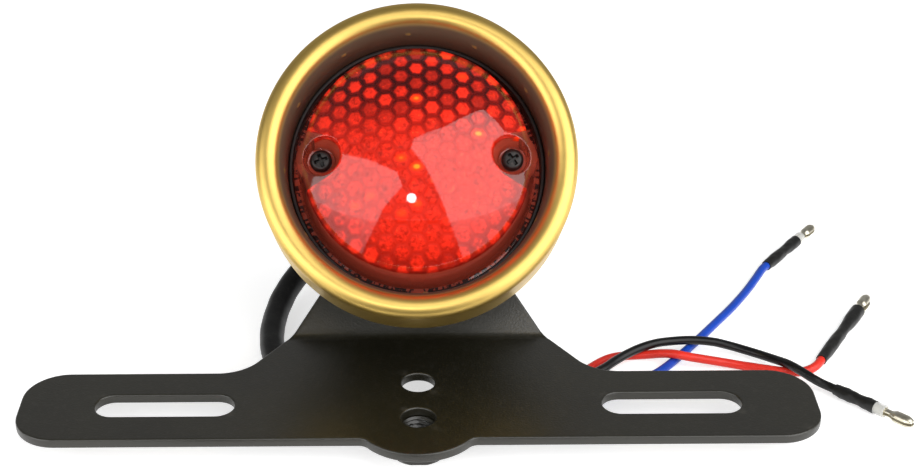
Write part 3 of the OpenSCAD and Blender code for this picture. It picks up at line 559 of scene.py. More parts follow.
# The shared shader groups: what builds each, and the kinds of its inputs and outputs
LAYERS = {
    "Fine grain": (
        build_grain,
        {"Place": "Vector", "Per metre": "Float", "Roughness": "Float", "Spread": "Float"},
        {"Height": "Float", "Roughness": "Float"},
    ),
    "Uneven tone": (
        build_tone,
        {"Place": "Vector", "Colour": "Color", "Second": "Color", "Per metre": "Float",
         "Dust": "Color", "Dust amount": "Float"},
        {"Colour": "Color"},
    ),
    "Edge wear": (
        build_wear,
        {"Place": "Vector", "Colour": "Color", "Bare": "Color", "Amount": "Float"},
        {"Colour": "Color"},
    ),
}


def make_group(name):
    """Makes a shared shader group with its named sockets."""
    build, *sockets = LAYERS[name]
    tree = bpy.data.node_groups.new(name, "ShaderNodeTree")
    for way, kinds in zip(("INPUT", "OUTPUT"), sockets):
        for socket_name, kind in kinds.items():
            tree.interface.new_socket(socket_name, in_out=way, socket_type="NodeSocket" + kind)
    results = build(tree, tree.nodes.new("NodeGroupInput").outputs)
    place(tree, "NodeGroupOutput", dict(enumerate(results)))
    return tree


def layer(tree, name, inputs):
    """The outputs of a shared group, which is made the first time that one asks for it."""
    group = bpy.data.node_groups.get(name) or make_group(name)
    return place(tree, "ShaderNodeGroup", inputs, node_tree=group).outputs


def finish(name, colour, second=None, roughness=0.5, spread=0.1, grain=1500.0, relief=0.02,
           tone=60.0, dust=0.0, wear=0.0, bare=(0.5, 0.5, 0.5), metallic=0.0, **shine):
    """A material from the shared groups: uneven tone, dust, edge wear, grain and relief in millimetres."""
    material, tree, shader = new_material(name)
    where = object_place(tree)
    shade = layer(tree, "Uneven tone", {
        "Place": where, "Colour": opaque(colour), "Second": opaque(second or darker(colour, 0.7)),
        "Per metre": tone, "Dust": opaque(srgb(150, 146, 138)), "Dust amount": dust,
    })["Colour"]
    if wear:
        shade = layer(tree, "Edge wear", {
            "Place": where, "Colour": shade, "Bare": opaque(bare), "Amount": wear,
        })["Colour"]
    grained = layer(tree, "Fine grain", {
        "Place": where, "Per metre": grain, "Roughness": roughness, "Spread": spread,
    })
    fill(tree, shader, {
        "Base Color": shade, "Roughness": grained["Roughness"], "Metallic": metallic,
        "Normal": relief_of(tree, grained["Height"], relief * MM),
    })
    fill(tree, shader, {key.replace("_", " "): value for key, value in shine.items()})
    return material


def smooth_route(points, per=8):
    """The curve through a route's points: on each stretch the cubic whose slopes at the ends
    are half the way between the neighbours."""
    points = np.asarray(points, float)
    whole = np.vstack([2 * points[0] - points[1], points, 2 * points[-1] - points[-2]])
    before, here, there, after = whole[:-3], whole[1:-2], whole[2:-1], whole[3:]
    share = np.linspace(0, 1, per, endpoint=False)[:, None, None]
    curve = 0.5 * (
        2 * here + (there - before) * share
        + (2 * before - 5 * here + 4 * there - after) * share ** 2
        + (3 * here - before - 3 * there + after) * share ** 3
    )
    return np.vstack([curve.transpose(1, 0, 2).reshape(-1, 3), points[-1]])


def round_path(path, radius, around=24):
    """Rings of a radius round a path, square to it: cosine along the level side direction,
    sine along the direction square to both."""
    along = unit(np.gradient(path, axis=0))
    side = unit(np.cross(along, [0, 0, 1]))
    up = np.cross(side, along)
    angle = even_angles(around)
    radius = np.broadcast_to(np.asarray(radius, float).reshape(-1, 1), (len(path), around))
    return (path[:, None] + (radius * np.cos(angle))[..., None] * side[:, None]
            + (radius * np.sin(angle))[..., None] * up[:, None])


def above_floor(path, radius):
    """The path lifted where a cord of that radius would dip into the floor."""
    free = 0.02 * MM
    lift = np.maximum(radius + free - path[:, 2], 0)
    return path + lift[:, None] * [0, 0, 1]


def end_frame(route):
    """The end of a route in metres and the directions there: side, up and along."""
    route = np.asarray(route, float) * MM
    along = unit(route[-1] - route[-2])
    side = unit(np.cross(along, [0, 0, 1]))
    return route[-1], np.array([side, np.cross(side, along), along])


def at_end(route, points):
    """Points given as side, up and along at a route's end, moved to their place."""
    origin, axes = end_frame(route)
    return origin + np.asarray(points) @ axes


class TAILLAMP_OT_stage(Operator):
    """Make the camera, the floor and the soft lights"""

    bl_idname = "tail_lamp.stage"
    bl_label = "Stage"

    def execute(self, context):
        lens = context.scene.tail_lamp_lens
        make_camera()
        make_floor()
        make_card(lens)
        make_lights(lens)
        return {"FINISHED"}


def camera_place():
    """The camera's place, and its directions to the right, up and back, fitted to the photograph:
    it looks at a point over the bracket, from in front and above."""
    elevation, roll, distance = np.radians(28.124), np.radians(-0.366), 450 * MM
    aim = np.array([0, 25, 47.12]) * MM
    level, rise = np.array([1, 0, 0]), np.array([0, np.sin(elevation), np.cos(elevation)])
    back = np.array([0, -np.cos(elevation), np.sin(elevation)])
    right = np.cos(roll) * level + np.sin(roll) * rise
    up = np.cos(roll) * rise - np.sin(roll) * level
    return aim + distance * back, right, up, back


def make_camera():
    """The camera with the photograph's view."""
    eye, right, up, back = camera_place()
    data = bpy.data.cameras.new("Camera")
    data.sensor_width, data.lens, data.shift_x = SENSOR, CAMERA_LENS, SHIFT
    data.clip_start, data.clip_end = 0.01, 20
    camera = add_object("Camera", data)
    turned = np.eye(4)
    turned[:3, :3] = np.stack([right, up, back], 1)
    turned[:3, 3] = eye
    camera.matrix_world = Matrix(turned.tolist())
    bpy.context.scene.camera = camera


def mirrored(lens, pixel):
    """Where the camera's ray through a pixel strikes the dome, and the direction that it goes on in:
    the ray less twice its share along the dome's outward direction, times that direction."""
    eye, right, up, back = camera_place()
    focal = IMAGE_W * CAMERA_LENS / SENSOR
    across, rise = pixel[0] - IMAGE_W * (0.5 - SHIFT), IMAGE_H / 2 - pixel[1]
    ray = unit((across * right + rise * up) / focal - back)
    start = eye - on_lamp([0, 0, LENS_W + dome_centre(lens)])
    along = ray @ start
    reach = -along - np.sqrt(along ** 2 - start @ start + lens.dome_r ** 2)
    outward = (start + reach * ray) / lens.dome_r
    return eye + reach * ray, ray - 2 * (ray @ outward) * outward


def stage_sheet(name, corners, material):
    """One flat face of the stage, which is no part of the object."""
    mesh = bpy.data.meshes.new(name)
    mesh.from_pydata([tuple(corner) for corner in corners], [], [tuple(range(len(corners)))])
    mesh.materials.append(material)
    sheet = add_object(name, mesh)
    return sheet


def make_floor():
    """A pale floor that keeps the shadow: to the camera and in reflections it also glows a little."""
    material, tree, glow = glowing_material("pale_floor", 0.6)
    diffuse = place(tree, "ShaderNodeBsdfDiffuse", {"Color": (0.86, 0.86, 0.86, 1)}).outputs[0]
    both = place(tree, "ShaderNodeAddShader", {0: diffuse, 1: glow}).outputs[0]
    path = place(tree, "ShaderNodeLightPath").outputs
    seen = compute(tree, "MAXIMUM", path["Is Camera Ray"], path["Is Glossy Ray"])
    seen = compute(tree, "MAXIMUM", seen, path["Is Transmission Ray"])
    mixed = place(tree, "ShaderNodeMixShader", {0: seen, 1: diffuse, 2: both}).outputs[0]
    place(tree, "ShaderNodeOutputMaterial", {0: mixed})
    reach = 12.0
    stage_sheet("floor", [(-reach, -reach, 0), (reach, -reach, 0), (reach, reach, 0),
                          (-reach, reach, 0)], material)


def make_card(lens):
    """A dark card on the floor ahead of the object, for the dark wedge that the dome mirrors.

    Its near corners lie where the mirrored rays of the wedge's outline meet the floor, and its far
    ones six metres away. Only reflections show it.
    """
    dark, tree, shader = new_material("dark_card")
    fill(tree, shader, {"Base Color": (0.02, 0.02, 0.02, 1), "Roughness": 0.9})
    near = []
    for strike, way in (mirrored(lens, pixel) for pixel in WEDGE_NEAR + WEDGE_LEFT):
        near.append(strike - way * strike[2] / way[2])
    far = [6 * direction(azimuth, 0) for azimuth in (22, -26.5)]
    corners = np.array(near[:len(WEDGE_NEAR)] + far + near[len(WEDGE_NEAR):])
    above_the_floor = 0.3 * MM
    corners[:, 2] = above_the_floor
    card = stage_sheet("dark_card", corners.tolist(), dark)
    card.visible_camera = card.visible_diffuse = card.visible_shadow = False


def direction(azimuth, elevation):
    """A unit vector: azimuth 0 points from the lamp to the camera's side, 90 to the right."""
    azimuth, elevation = np.radians(azimuth), np.radians(elevation)
    return np.array([np.sin(azimuth) * np.cos(elevation), -np.cos(azimuth) * np.cos(elevation),
                     np.sin(elevation)])


def light_sheet(name, normal, distance, rays, strength):
    """A glowing flat sheet: each corner is where its direction from the lamp meets the plane that
    stands square to the normal at that distance."""
    material, tree, glow = glowing_material(name, strength)
    place(tree, "ShaderNodeOutputMaterial", {0: glow})
    rays = np.array(rays)
    spots = LAMP_ORIGIN + rays * distance / (rays @ normal)[:, None]
    sheet = stage_sheet(name, spots, material)
    sheet.visible_camera = False


def make_lights(lens):
    """Two slanted white sheets beside the camera, one behind the object, a small lamp near the
    camera, and an even grey world.

    The inner and upper corners of the first two lie in the directions that the dome mirrors at the
    outlines of the two bright fields.
    """
    low = -2.5
    right = [direction(21.5, low), direction(82, low), direction(90, 35)]
    right += [mirrored(lens, pixel)[1] for pixel in RIGHT_FIELD]
    left = [direction(-26.5, low)] + [mirrored(lens, pixel)[1] for pixel in LEFT_FIELD]
    left += [direction(-80, 12), direction(-80, low)]
    rear = [direction(*corner) for corner in ((125, -2), (235, -2), (225, 48), (135, 48))]
    light_sheet("right_sheet", direction(52, 20), 0.8, right, 3.0)
    light_sheet("left_sheet", direction(-55, 14), 0.8, left, 3.0)
    light_sheet("rear_sheet", direction(180, 25), 1.1, rear, 0.35)
    lamp = bpy.data.lights.new("small_lamp", "AREA")
    lamp.shape, lamp.size, lamp.energy = "DISK", 62 * MM, 0.3
    spot = add_object("small_lamp", lamp)
    away, distance = direction(-3.7, 16.2), 0.55
    spot.location = LAMP_ORIGIN + distance * away
    spot.rotation_mode = "QUATERNION"
    spot.rotation_quaternion = Vector(away).to_track_quat("Z", "Y")
    spot.visible_camera = False
    world = bpy.data.worlds.new("World")
    bpy.context.scene.world = world
    world.use_nodes = True
    fill(world.node_tree, world.node_tree.nodes["Background"], {"Color": (1, 1, 1, 1), "Strength": 0.2})


class TAILLAMP_OT_cords(Operator):
    """Make the loom sleeve and the three wires"""

    bl_idname = "tail_lamp.cords"
    bl_label = "Loom and wires"

    def execute(self, context):
        sizes, tones = context.scene.tail_lamp_cords, context.scene.tail_lamp_finishes
        make_loom(sizes, tones)
        for name in WIRES:
            make_wire(name, sizes, tones)
        return {"FINISHED"}


def make_loom(sizes, tones):
    """The sleeve: rings along the route, slightly uneven by the product of two sines, round a lip
    at the open end and back inside it."""
    start = on_lamp([[0, 0, -LOOM_BACK - way] for way in (0, 6 * MM, 11 * MM)])
    path = above_floor(smooth_route(np.vstack([start, np.array(LOOM_ROUTE) * MM])), sizes.loom_d / 2)
    radius, wall, deep = sizes.loom_d / 2, 0.5 * MM, 12
    uneven, sunk = 0.05 * MM, 0.06 * MM
    lip = arc((0, 0), wall / 2, 90, -90, 6)
    turn_back = path[-1] + np.outer(lip[:, 0] - wall / 2, unit(path[-1] - path[-2]))
    whole = np.vstack([path[:-1], turn_back, path[-2:-2 - deep:-1]])
    station = np.arange(len(path) - 1)
    bumps = uneven * np.sin(0.9 * station) * np.sin(0.23 * station)
    radii = np.concatenate([
        radius - sunk + bumps, radius - wall / 2 + lip[:, 1], np.full(deep, radius - wall)])
    forward = round_path(path, 1.0, 32) - path[:, None]
    shape = np.vstack([forward[:-1], np.repeat(forward[-1:], len(lip), 0), forward[-2:-2 - deep:-1]])
    rings = whole[:, None] + shape * radii[:, None, None]
    skin = finish("black_vinyl", tones.vinyl, roughness=0.42, spread=0.12, grain=700, relief=0.03,
                  tone=90, dust=0.04, Specular_IOR_Level=0.2)
    piece = make_piece("loom_sleeve_skin", [(loft(rings, caps=True), 0)], [skin],
                       ["loom_sleeve"], sharp=60)


def make_wire(name, sizes, tones):
    """A wire from inside the loom to inside its sleeve, with its sleeves and terminal."""
    points = np.array(WIRES[name][0], float) * MM
    tone = getattr(tones, name)
    path = above_floor(smooth_route(points, 6), sizes.wire_d / 2)
    along = unit(points[-1] - points[-2])
    inside_loom, inside_shrink = 3 * MM, 2 * MM
    path = np.vstack([path[0] - [inside_loom, 0, 0], path, path[-1] + inside_shrink * along])
    slot = name + "_wire"
    skin = finish(slot, tone, darker(tone, 0.82), roughness=0.32, spread=0.1,
                  grain=900, relief=0.012, tone=160, dust=0.04, Specular_IOR_Level=0.35)
    radius = np.full(len(path), sizes.wire_d / 2)
    piece = make_piece("wire_" + name + "_skin", [(loft(round_path(path, radius, 16), caps=True), 0)],
                       [skin], ["wire_" + name], sharp=60)
    wire_end(name, sizes, tones)


def running_mean(values, width):
    """The mean over a window along the values, with the end values repeated past the ends."""
    return np.convolve(np.pad(values, width // 2, mode="edge"), np.ones(width) / width, "valid")


def shrink_skin(name, route, cover, head_d, sizes, material):
    """The heat-shrink sleeve: a smoothed run of radii, with creases by the product of a sine round
    it and a sine along it, over a straight bore."""
    stations, around = 60, 48
    waist, full, head = sizes.shrink_waist_d / 2, sizes.shrink_d / 2, head_d / 2
    share = np.linspace(0, 1, stations)
    smooth = running_mean(np.interp(share, np.linspace(0, 1, 6), [waist, full, full, waist, head, head]), 7)
    outer = lathe(np.stack([smooth, share * cover], -1), around)
    lobes = np.sin(3 * even_angles(around) + 5 * share[:, None])
    crease_h, play = 0.06 * MM, 0.05 * MM
    crease = crease_h * lobes * np.sin(9 * share[:, None] * np.pi)
    outer[..., :2] *= (1 + crease / smooth[:, None])[..., None]
    bore = np.full(stations, sizes.barrel_d / 2 + play)
    inner = lathe(np.stack([bore, share * cover], -1), around)
    return make_piece("heat_shrink_" + name + "_skin", [(slab(at_end(route, outer),
                      at_end(route, inner), wrap=True), 0)], [material],
                      ["heat_shrink_" + name])


def clear_skin(name, route, cover, clear_len):
    """The short clear sleeve ahead of the heat-shrink: a tube with rounded ends."""
    inside_r, outside_r = 1.25 * MM, 1.65 * MM
    tube = lathe(rounded([[inside_r, 0], [outside_r, 0], [outside_r, clear_len],
                          [inside_r, clear_len]], 0.12 * MM), 48)
    tube[..., 2] += cover
    return make_piece("clear_sleeve_" + name + "_skin", [(loft(at_end(route, tube), join=True), 0)],
                      [clear_vinyl()], ["clear_sleeve_" + name])


def wire_end(name, sizes, tones):
    """The heat-shrink sleeve, the clear sleeve and the split terminal at the end of a wire."""
    route, *lengths = WIRES[name]
    cover, head_d, clear_len, spread = np.array(lengths) * MM
    shrink = finish("heat_shrink", tones.shrink, roughness=0.4, spread=0.14, grain=1200, relief=0.03,
                    tone=200, dust=0.05, Specular_IOR_Level=0.35)
    tin = finish("tinned_brass", tones.tin, srgb(190, 182, 158), roughness=0.3, spread=0.15, grain=900,
                 relief=0.01, tone=260, metallic=1.0)
    pieces = [shrink_skin(name, route, cover, head_d, sizes, shrink)]
    if clear_len:
        pieces.append(clear_skin(name, route, cover, clear_len))
    pieces.append(make_terminal(name, route, cover + clear_len, spread, sizes, tin))
    return pieces


def make_terminal(name, route, covered, spread, sizes, tin):
    """A rolled terminal: a round barrel, then an upper and a lower half shell with a split between,
    each bounded by the angle whose cosine is half the gap over the radius."""
    neck, slope, nose, blunt = 2.2 * MM, 0.8 * MM, 1.5 * MM, 0.4 * MM
    neck_r, tip_r, bulge = 1 * MM, 0.8 * MM, 0.35 * MM
    wall, half_gap = 0.42 * MM, 0.35 * MM
    overlap = 0.05 * MM
    whole, head, start = sizes.bullet_len, sizes.bullet_d / 2, covered - overlap
    at = [0, neck * 0.9, neck + slope, whole - nose, whole - blunt, whole]
    out = [neck_r, neck_r, head, head, tip_r + bulge, tip_r]
    station = np.linspace(0, whole, 40)
    radius = running_mean(np.interp(station, at, out), 5)
    barrel = lathe([[sizes.barrel_d / 2, 0.0], [sizes.barrel_d / 2, start]], 32)
    parts = [(loft(at_end(route, barrel), caps=True), 0)]
    for turn in (0, 1):
        angles = []
        for shell in (radius, radius - wall):
            reach = np.arccos(np.clip(half_gap / shell, 0, 1))
            angle = np.linspace(-1, 1, 21) * reach[:, None] + turn * np.pi
            angles.append(np.stack([
                shell[:, None] * np.sin(angle),
                shell[:, None] * np.cos(angle) + (spread if turn == 0 else -spread),
                start + station[:, None] + 0 * angle], -1))
        parts.append((slab(at_end(route, angles[0]), at_end(route, angles[1])), 0))
    return make_piece("bullet_" + name + "_metal", parts, [tin], ["bullet_" + name])


def clear_vinyl():
    """The clear material of the short sleeves, made once."""
    name = "clear_vinyl"
    if name in bpy.data.materials:
        return bpy.data.materials[name]
    return finish(name, srgb(232, 230, 222), srgb(214, 210, 198), roughness=0.3, spread=0.15,
                  grain=800, relief=0.02, tone=300, Alpha=0.55)


class TAILLAMP_OT_bracket(Operator):
    """Make the bent bracket and the weld nut"""

    bl_idname = "tail_lamp.bracket"
    bl_label = "Bracket and nut"

    def execute(self, context):
        sizes, tones = context.scene.tail_lamp_bracket, context.scene.tail_lamp_finishes
        coat = finish("black_powder_coat", tones.coat, darker(tones.coat, 0.7),
                      roughness=0.36, spread=0.12, grain=1700, relief=0.05, tone=40, dust=0.04,
                      wear=0.2, bare=srgb(96, 92, 84), Specular_IOR_Level=0.72)
        make_bracket(sizes, coat)
        make_nut(sizes, coat)
        return {"FINISHED"}


def blank_half(sizes, bend_start, bend_end, head_y, bend_steps):
    """Right half of the flat blank, from the lug's front to the head's top: the arcs of the lug,
    its fillet, the bar's corners, the neck's fillet and the head, with straight edges between."""
    reach, drop = sizes.lug_r + sizes.lug_fillet_r, sizes.bar_front + sizes.lug_fillet_r
    fillet_x = np.sqrt(reach ** 2 - drop ** 2)
    touch = np.degrees(np.arctan2(-drop, fillet_x))
    taper_angle = 33
    taper = np.tan(np.radians(taper_angle))
    rear = sizes.bar_depth - sizes.bar_front
    corner = np.array([sizes.neck_half + taper * (bend_start - rear), rear])
    run = sizes.neck_fillet_r / np.tan(np.radians((90 + taper_angle) / 2))
    end_x = sizes.bar_length / 2 - sizes.corner_r
    rows = np.linspace(bend_start, bend_end, bend_steps + 1)
    neck_top = bend_start + (sizes.neck_half - sizes.head_r) / taper
    return np.vstack([
        arc((0, 0), sizes.lug_r, -90, touch, 16),
        arc((fillet_x, -drop), sizes.lug_fillet_r, 180 + touch, 90, 10),
        arc((end_x, sizes.corner_r - sizes.bar_front), sizes.corner_r, -90, 0, 20),
        arc((end_x, rear - sizes.corner_r), sizes.corner_r, 0, 90, 20),
        arc(corner + [run, sizes.neck_fillet_r], sizes.neck_fillet_r, 270, 180 + taper_angle, 16),
        np.stack([sizes.neck_half - taper * (rows - bend_start), rows], -1),
        [[sizes.head_r, neck_top]],
        arc((0, head_y), sizes.head_r, 0, 90, 24),
    ])


def bent(points, bend_start, bend_r):
    """The flat blank's points (x, way up the sheet, height above its underside) bent to shape.

    Up to the bend a point stays, in the bend it turns about the bend's centre by its way
    over the middle radius, and past the bend it goes on along the neck.
    """
    x, way, height = points[..., 0], points[..., 1], points[..., 2]
    middle = bend_r + SHEET_T / 2
    angle = np.clip((way - bend_start) / middle, 0, NECK_ANGLE)
    before = np.minimum(way, bend_start)
    beyond = np.maximum(way - bend_start - NECK_ANGLE * middle, 0)
    radius = bend_r + SHEET_T - height
    y = before + radius * np.sin(angle) + beyond * np.cos(angle)
    z = PLATE_TOP + bend_r - radius * np.cos(angle) + beyond * np.sin(angle)
    return np.stack([x, y, z], -1)


def blank_loops(sizes, half, head_y):
    """The blank's closed loops: its outline, both slots, and the holes in the lug and the head."""
    loops = [np.vstack([half, (half * [-1, 1])[-2:0:-1]])]
    slot_y = (sizes.bar_depth - 2 * sizes.bar_front) / 2
    ends = (sizes.slot_length - sizes.slot_width) / 2
    for side in (-1, 1):
        x = side * sizes.slot_spacing / 2
        loops.append(np.vstack([
            arc((x + ends, slot_y), sizes.slot_width / 2, 90, -90, 20),
            arc((x - ends, slot_y), sizes.slot_width / 2, -90, -270, 20),
        ]))
    for centre, radius in (
        ((0, 0), sizes.hole_d / 2), ((0, sizes.hole_spacing), sizes.hole_d / 2),
        ((0, head_y), CABLE_HOLE_R), ((MOUNT_DX, head_y), MOUNT_HOLE_R),
        ((-MOUNT_DX, head_y), MOUNT_HOLE_R),
    ):
        loops.append(arc(centre, radius, 360, 0, 48)[:-1])
    return loops


def make_bracket(sizes, coat):
    """The bent sheet: a rounded edge profile carried round the outline and every hole, and flat
    faces between, with bars of edges straight across the bend."""
    leg = sizes.bend_r * np.tan(NECK_ANGLE / 2)
    bend_start = BEND_Y - leg
    bend_end = bend_start + NECK_ANGLE * (sizes.bend_r + SHEET_T / 2)
    head_y = bend_end + LAMP_UP - leg
    steps, hold, clear = 14, 0.25 * MM, 1 * MM
    half = blank_half(sizes, bend_start, bend_end, head_y, steps)
    loops = blank_loops(sizes, half, head_y)
    lower = arc((sizes.edge_r, sizes.edge_r), sizes.edge_r, 270, 180, 4)
    profile = np.vstack([
        [[sizes.edge_r + hold, 0]], lower, (lower * [1, -1] + [0, SHEET_T])[::-1],
        [[sizes.edge_r + hold, SHEET_T]],
    ])
    edges, inner = rims(loops, profile)
    parts = [(loft(bent(rings, bend_start, sizes.bend_r)), 0) for rings in edges]
    first = int(np.argmin(np.abs(half[:, 1] - bend_start) + np.abs(half[:, 0] - sizes.neck_half)))
    bars = [(first + k, len(loops[0]) - first - k) for k in range(steps + 1)]
    grid = lattice(1.2 * sizes.bar_length, 3 * MM)
    grid = grid[(grid[:, 1] < bend_start - clear) | (grid[:, 1] > bend_end + clear)]
    flat, faces = filled(inner, grid, bars)
    for height, turned in ((0, faces[:, ::-1]), (SHEET_T, faces)):
        sheet = np.concatenate([flat, np.full((len(flat), 1), height)], -1)
        parts.append(((bent(sheet, bend_start, sizes.bend_r), [turned]), 0))
    return make_piece("mounting_bracket_coated", parts, [coat],
                      ["mounting_bracket"], sharp=50)


def make_nut(sizes, coat):
    """A hexagon nut: its outside is the flats' distance over the cosine from each flat's middle,
    its bore a helix whose depth is a triangle wave of height over pitch less the turn."""
    around, flat_r, chamfer, edge = 96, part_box("weld_nut")[1].y, 0.8 * MM, 0.1 * MM
    bore_r, mouth_r, thread_h = 3.4 * MM, 4.1 * MM, 0.6 * MM
    angle = even_angles(around)
    hexagon = flat_r / np.cos(angle % (np.pi / 3) - np.pi / 6)
    corner_r = flat_r / np.cos(np.pi / 6)
    outer_z = np.array([0, chamfer / 3, chamfer, chamfer * 1.5, NUT_TOP * 0.5, NUT_TOP - edge, NUT_TOP])
    outer = np.minimum(hexagon, (corner_r - chamfer + outer_z)[:, None])
    inner_z = np.linspace(NUT_TOP, 0, 57)
    wave = (inner_z[:, None] / sizes.thread_pitch - angle / TURN) % 1
    depth = thread_h * (1 - np.abs(2 * wave - 1))
    from_end = np.minimum(inner_z, NUT_TOP - inner_z)[:, None]
    inner = np.maximum(bore_r + depth, mouth_r - from_end)
    radius = np.vstack([outer, inner])
    z = np.concatenate([outer_z, inner_z])[:, None] + 0 * angle
    rings = np.stack([radius * np.cos(angle), radius * np.sin(angle), z], -1)
    return make_piece("weld_nut_threaded", [(loft(rings, join=True), 0)], [coat],
                      ["weld_nut"], sharp=32)


class TAILLAMP_OT_bezel(Operator):
    """Make the gold bezel"""

    bl_idname = "tail_lamp.bezel"
    bl_label = "Bezel"

    def execute(self, context):
        sizes, tones = context.scene.tail_lamp_lamp, context.scene.tail_lamp_finishes
        gold = finish("satin_gold", tones.gold, darker(tones.gold, 0.88),
                      roughness=0.4, spread=0.06, grain=1800, relief=0.004, tone=70, metallic=1.0)
        # The dish turns a darker, less metallic brown inside its edge
        darken_dish(gold, tones.dish_brown)
        make_bezel(sizes, gold)
        return {"FINISHED"}


def darken_dish(material, dark):
    """Leads the gold over to a darker, less metallic brown where the bezel's own value says so."""
    tree = material.node_tree
    shader = tree.nodes["Principled BSDF"]
    deep = own_value(tree, "deep")
    clean = shader.inputs["Base Color"].links[0].from_socket
    fill(tree, shader, {
        "Base Color": mix_colours(tree, deep, clean, opaque(dark)),
        "Metallic": span(tree, deep, 0, 1, 1.0, 0.2),
    })


def dot_share(sizes, radius, rise, angle):
    """1 at the middle of each of the dish's twelve dots, easing to 0 at its edge: the distance is
    that in the profile and that along the ring to the nearest dot, squared and added."""
    ring_r, ring_w = 33.1 * MM, 37.3 * MM
    first, apart = np.radians(3.3), TURN / 12
    along = np.hypot(radius - ring_r, rise - ring_w)
    across = ring_r * np.abs((angle - first + apart / 2) % apart - apart / 2)
    return ease(1.3 - 1.3 * np.hypot(along, across) / sizes.dot_r)


def bezel_profile(sizes):
    """The ring's closed profile as (radius, height): flange, throat, a flare that turns outward and
    a rounded front edge, each an arc, and the inside of the metal a constant thickness away."""
    bend, corner = 20, 0.3 * MM
    sine, cosine = np.sin(np.radians(bend)), np.cos(np.radians(bend))
    roll_x, roll_w = sizes.bezel_r - sizes.roll_r, LEDGE_W + sizes.bezel_depth - sizes.roll_r
    flare_r = (roll_x - sizes.roll_r * cosine - THROAT_R) / (1 - cosine)
    flare_x, flare_w = THROAT_R + flare_r, roll_w - (flare_r - sizes.roll_r) * sine
    back = roll_w - sizes.side_depth
    parts = [
        ([[THROAT_R + BEZEL_T, LEDGE_W], [FLANGE_R, LEDGE_W], [FLANGE_R, GASKET_W],
          [THROAT_R, GASKET_W]], corner),
        (arc((flare_x, flare_w), flare_r, 180, 180 - bend, 20), 0),
        (arc((roll_x, roll_w), sizes.roll_r, 180 - bend, 0, 36)[1:], 0),
        ([[sizes.bezel_r, back], [sizes.bezel_r - BEZEL_T, back]], corner),
        (arc((roll_x, roll_w), sizes.roll_r - BEZEL_T, 0, 180 - bend, 30), 0),
        (arc((flare_x, flare_w), flare_r - BEZEL_T, 180 - bend, 180, 20)[1:], 0),
    ]
    radii = np.concatenate([np.full(len(points), radius) for points, radius in parts])
    return rounded(np.vstack([points for points, _ in parts]), radii)


def make_bezel(sizes, gold):
    """The spun ring: its profile turned round the axis. Twelve low dots, a twelfth of a turn apart,
    stand inward from the dish by an eased fall with distance. The dish is dark inside its edge."""
    dish_edge, blend = 34.9 * MM, 1.1 * MM
    profile = bezel_profile(sizes)
    rings, angle = lathe(profile, 360), even_angles(360)
    lift = sizes.dot_h * dot_share(sizes, profile[:, :1], profile[:, 1:], angle)
    rings[..., 0] -= lift * np.cos(angle)
    rings[..., 1] -= lift * np.sin(angle)
    piece = make_piece("bezel_spun", [(loft(on_lamp(rings), join=True), 0)], [gold],
                       ["bezel"])
    local = in_lamp_frame(piece)
    far = np.hypot(local[:, 0], local[:, 1])
    dots = dot_share(sizes, far, local[:, 2], np.arctan2(local[:, 1], local[:, 0]))
    mark_points(piece, "deep", ease((dish_edge - far) / blend) * (1 - dots))
    return piece


class TAILLAMP_OT_lens(Operator):
    """Make the red lens and the gasket round its foot"""

    bl_idname = "tail_lamp.lens"
    bl_label = "Lens and gasket"

    def execute(self, context):
        sizes, tones = context.scene.tail_lamp_lens, context.scene.tail_lamp_finishes
        make_lens(sizes, tones)
        rubber = finish("black_rubber", tones.rubber, roughness=0.5, spread=0.12, grain=1100,
                        relief=0.03, tone=120, dust=0.12)
        make_gasket(rubber)
        return {"FINISHED"}


def fold(angle):
    """The angle to the nearer end of the x axis, from 0 to a quarter turn."""
    return np.abs((angle + np.pi / 2) % np.pi - np.pi / 2)


def ease(share):
    """Three share squared less two share cubed, held between 0 and 1."""
    share = np.clip(share, 0, 1)
    return share * share * (3 - 2 * share)


def notch_share(angle, radius, half, soft):
    """1 at the tab, at the foot of the -y side, and 0 away from it, with an eased change."""
    across = np.abs(radius * np.cos(angle))
    return ease((half + soft / 2 - across) / soft) * (np.sin(angle) < 0)


def dome_centre(sizes):
    """Height of the dome's centre above the lens's foot."""
    return sizes.edge_h - np.sqrt(sizes.dome_r ** 2 - sizes.edge_r ** 2)


def sphere_rise(sizes, radius, drop):
    """Height of the dome, or of a sphere that much inside it, at a distance from the axis."""
    return dome_centre(sizes) + np.sqrt((sizes.dome_r - drop) ** 2 - radius ** 2)


def side_radius(sizes, angle, rise):
    """Radius of the side: half of (cone + column + root of their difference squared and 0.8 mm
    squared), where the column is its centre's distance times the cosine, plus the root of its
    radius squared less the centre's sine squared."""
    blend = 0.8 * MM
    cone = sizes.side_r - (sizes.side_r - sizes.edge_r) * rise / sizes.edge_h
    turned = fold(angle)
    room = sizes.column_r ** 2 - (sizes.screw_x * np.sin(turned)) ** 2
    column = sizes.screw_x * np.cos(turned) + np.sqrt(np.maximum(room, 0))
    return (cone + column + np.hypot(cone - column, blend)) / 2


def room_radius(sizes, angle, rise):
    """Radius of the room inside: the cone less the wall, and the near side of each column, with an
    eased step beside it."""
    cone = sizes.side_r - (sizes.side_r - sizes.edge_r) * rise / sizes.edge_h - sizes.side_wall
    turned = fold(angle)
    column_wall, step = 0.7 * MM, 0.035
    column = sizes.mouth_r + column_wall
    sine = np.minimum(sizes.screw_x * np.sin(turned), column)
    limit = np.arcsin(column / sizes.screw_x)
    near = sizes.screw_x * np.cos(np.minimum(turned, limit)) - np.sqrt(column ** 2 - sine ** 2)
    return near + (cone - near) * ease((turned - limit) / step)


def curve(first, middle, last, steps):
    """The rounded corner from first to last: (1-t) squared, 2t(1-t) and t squared of three points."""
    share = np.linspace(0, 1, steps + 1)[:, None]
    return tuple((1 - share) ** 2 * a + 2 * share * (1 - share) * b + share ** 2 * c
                 for a, b, c in zip(first, middle, last))


